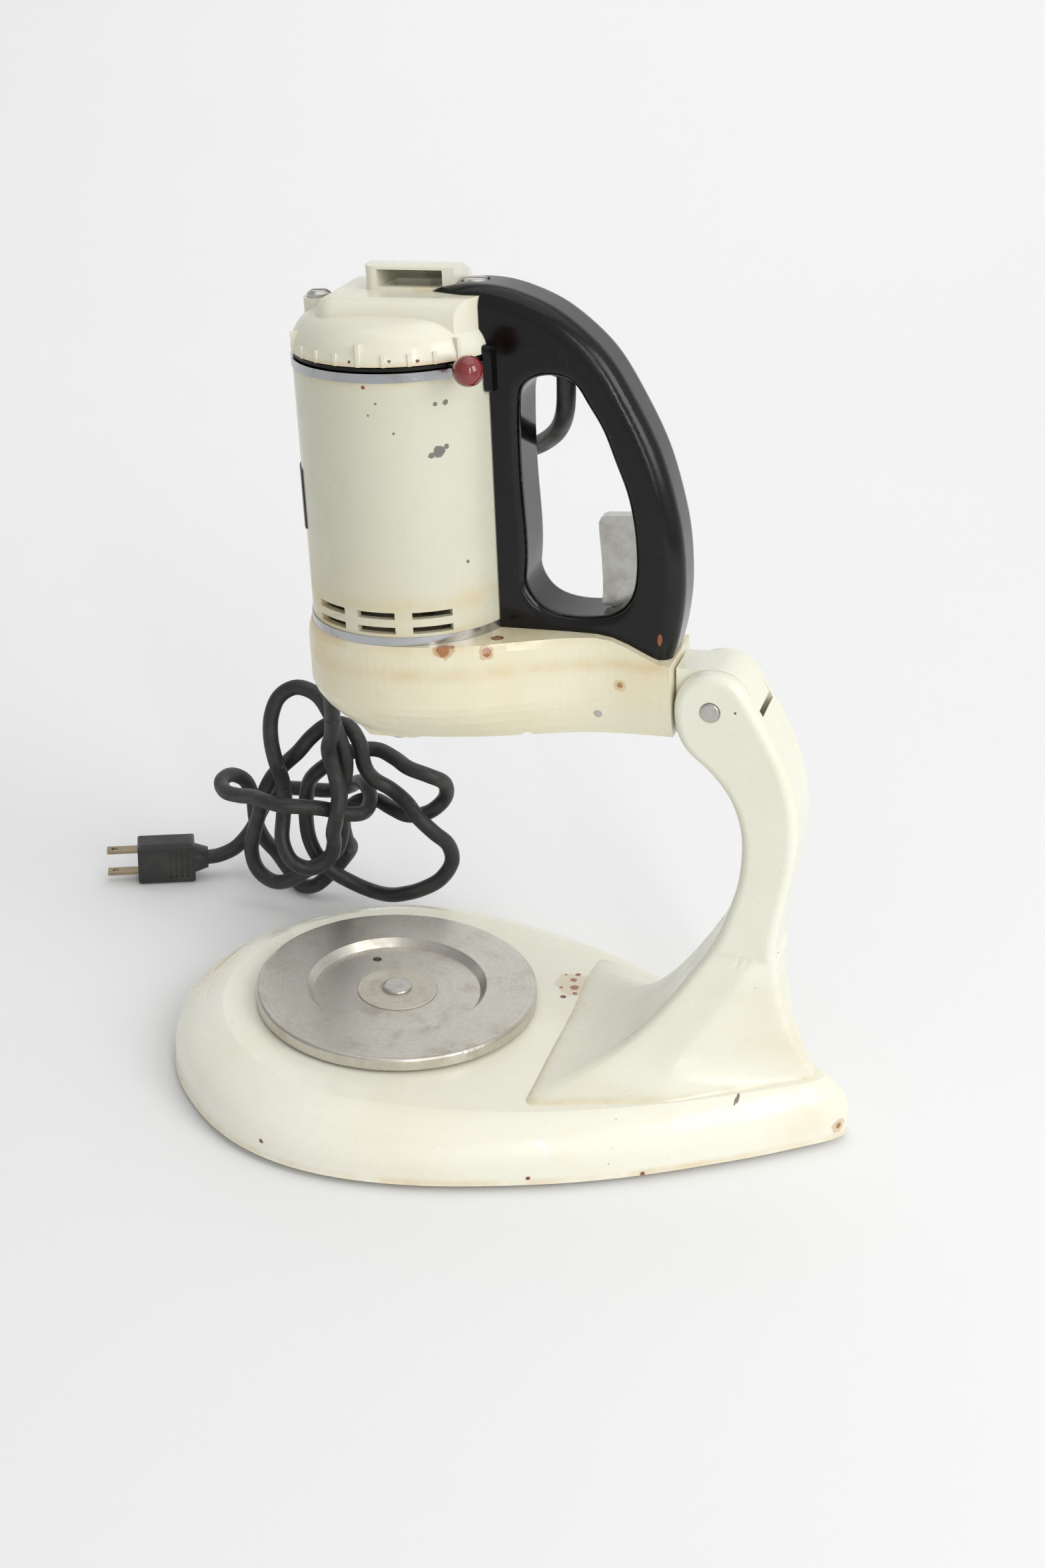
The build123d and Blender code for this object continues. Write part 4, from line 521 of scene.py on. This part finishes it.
def mesh_object(name, verts, faces, material, smooth_end=None):
    """Linked mesh object; faces before index smooth_end are smooth."""
    mesh = bpy.data.meshes.new(name)
    mesh.from_pydata(verts, [], faces)
    mesh.update()
    for polygon in mesh.polygons[:smooth_end]:
        polygon.use_smooth = True
    made = bpy.data.objects.new(name, mesh)
    bpy.context.scene.collection.objects.link(made)
    mesh.materials.append(material)
    return made


def catmull_rom(points, steps):
    path = []
    last = len(points) - 1
    for i in range(last):
        near = points[max(0, i - 1)], points[i], points[i + 1], points[min(last, i + 2)]
        for k in range(steps):
            t = k / steps
            path.append(tuple(
                0.5 * (2 * b + (c - a) * t + (2 * a - 5 * b + 4 * c - d) * t * t
                       + (3 * b - a - 3 * c + d) * t ** 3)
                for a, b, c, d in zip(*near)))
    return path + [points[-1]]


def tube(name, path, radius):
    """Round tube with flat ends; its section is carried along without twisting."""
    points = [Vector(point) for point in path]
    last = len(points) - 1
    tangents = [(points[min(last, i + 1)] - points[max(0, i - 1)]).normalized()
                for i in range(last + 1)]
    side = tangents[0].cross(Vector((1, 0, 0))).normalized()
    verts, faces = [], []
    for point, tangent in zip(points, tangents):
        side = (side - tangent * side.dot(tangent)).normalized()
        other = tangent.cross(side)
        for k in range(TUBE_SIDES):
            angle = 2 * math.pi * k / TUBE_SIDES
            verts.append(tuple(point + (side * math.cos(angle) + other * math.sin(angle)) * radius))
    for i in range(last):
        ring, above = i * TUBE_SIDES, (i + 1) * TUBE_SIDES
        for k in range(TUBE_SIDES):
            m = (k + 1) % TUBE_SIDES
            faces.append((ring + k, ring + m, above + m, above + k))
    faces.append(tuple(range(TUBE_SIDES - 1, -1, -1)))
    faces.append(tuple(last * TUBE_SIDES + k for k in range(TUBE_SIDES)))
    return mesh_object(name, verts, faces, slots["cord_rubber"], smooth_end=-2)


path = [tuple(c / 1000 for c in point) for point in catmull_rom(CORD, STEPS_PER_SPAN)]
heap = tube("power_cord_smooth", path[SPLIT:], HEAP_RADIUS)
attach(heap, "stand")
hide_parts("power_cord")
# overlaps the heap a little
hanging = tube("power_cord_hanging", path[:SPLIT + 2], HANGING_RADIUS)
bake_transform(hanging)
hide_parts("power_cord")

# ---------------------------------------------------------------- floor and backdrop
HALF_WIDTH = 16.0
BEND_START, BEND_RADIUS, BEND_STEPS = 1.2, 0.8, 12
WALL_TOP = 3.2


def floor_paper():
    mat = Shader("floor_paper")
    cloud = mat.ramp(mat.noise(scale=3.0, detail=2), (0.3, 0.7))
    far = mat.mix(cloud, (0.93, 0.932, 0.925), (0.94, 0.94, 0.933))
    # darker near the front and lighter towards the back: painted light and shade across the paper
    colour = mat.mix(mat.ramp(mat.axis("Y"), (-0.9, 1.4)), (0.84, 0.846, 0.842), far)
    grain = mat.bump(mat.noise(scale=600.0, detail=2), depth=0.00003, strength=0.2)
    return mat.finish(colour, 0.7, grain, specular=0.2)


profile = [(-16.0, 0.0), (BEND_START, 0.0)]   # y, z
for k in range(1, BEND_STEPS + 1):
    angle = math.radians(k * 90 / BEND_STEPS)
    profile.append((BEND_START + BEND_RADIUS * math.sin(angle),
                    BEND_RADIUS - BEND_RADIUS * math.cos(angle)))
profile.append((BEND_START + BEND_RADIUS, WALL_TOP))
verts = [(x, y, z) for y, z in profile for x in (-HALF_WIDTH, HALF_WIDTH)]
faces = [(2 * k, 2 * k + 1, 2 * k + 3, 2 * k + 2) for k in range(len(profile) - 1)]
mesh_object("floor", verts, faces, floor_paper())

# ---------------------------------------------------------------- lights
CENTRE = (0.04, 0.0, 0.17)


def area_light(name, place, size, watts, target=CENTRE, colour=(1, 1, 1)):
    light = bpy.data.lights.new(name, "AREA")
    light.shape = "RECTANGLE"
    light.size, light.size_y = size
    light.energy = watts
    light.color = colour
    lamp = bpy.data.objects.new(name, light)
    bpy.context.scene.collection.objects.link(lamp)
    lamp.location = place
    aim = Vector(target) - Vector(place)
    lamp.rotation_euler = aim.to_track_quat("-Z", "Y").to_euler()


area_light("key_right", (1.35, -0.55, 1.0), size=(0.6, 1.1), watts=8.5, colour=(1, 0.997, 0.99))
area_light("strip", (0.75, -1.15, 0.75), size=(0.04, 1.1), watts=3.0)
area_light("soft_top", (0.1, 0.1, 1.9), size=(1.6, 1.6), watts=5.5)
area_light("wall_wash", (-0.5, 0.7, 1.7), size=(2.6, 0.6), watts=7.0, target=(-0.4, 2.0, 1.0))

# world light, stronger from +X
world = bpy.data.worlds.new("studio")
bpy.context.scene.world = world
world.use_nodes = True
nodes, links = world.node_tree.nodes, world.node_tree.links
background = nodes["Background"]
direction = nodes.new("ShaderNodeTexCoord")
split = nodes.new("ShaderNodeSeparateXYZ")
links.new(direction.outputs["Generated"], split.inputs[0])
strength = nodes.new("ShaderNodeMapRange")
links.new(split.outputs["X"], strength.inputs[0])
# direction x from, to; strength from, to
for index, value in enumerate((-0.9, 0.7, 0.36, 0.86), 1):
    strength.inputs[index].default_value = value
links.new(strength.outputs[0], background.inputs["Strength"])
background.inputs["Color"].default_value = (0.985, 0.992, 1.0, 1)

# ---------------------------------------------------------------- camera
CAMERA_PLACE = (0.28337, -0.81746, 0.56131)
# yaw turns from +Y towards -X, pitch looks down
yaw, pitch, roll = (math.radians(angle) for angle in (15.5, 25.91, 2.083))
right = Vector((math.cos(yaw), math.sin(yaw), 0))
forward = Vector((-math.sin(yaw) * math.cos(pitch), math.cos(yaw) * math.cos(pitch),
                  -math.sin(pitch)))
up = right.cross(forward)
camera_x = right * math.cos(roll) + up * math.sin(roll)
camera_y = -right * math.sin(roll) + up * math.cos(roll)
lens = bpy.data.cameras.new("photo_view")
lens.sensor_fit = "VERTICAL"
lens.sensor_height = 36.0
lens.sensor_width = 24.0
lens.lens = 49.879133
camera = bpy.data.objects.new("photo_view", lens)
bpy.context.scene.collection.objects.link(camera)
turn = Matrix((camera_x, camera_y, -forward)).transposed().to_4x4()
camera.matrix_world = Matrix.Translation(CAMERA_PLACE) @ turn
bpy.context.scene.camera = camera
view = bpy.context.scene.view_settings
view.view_transform = "Standard"
view.look = "None"
view.exposure = 0.0
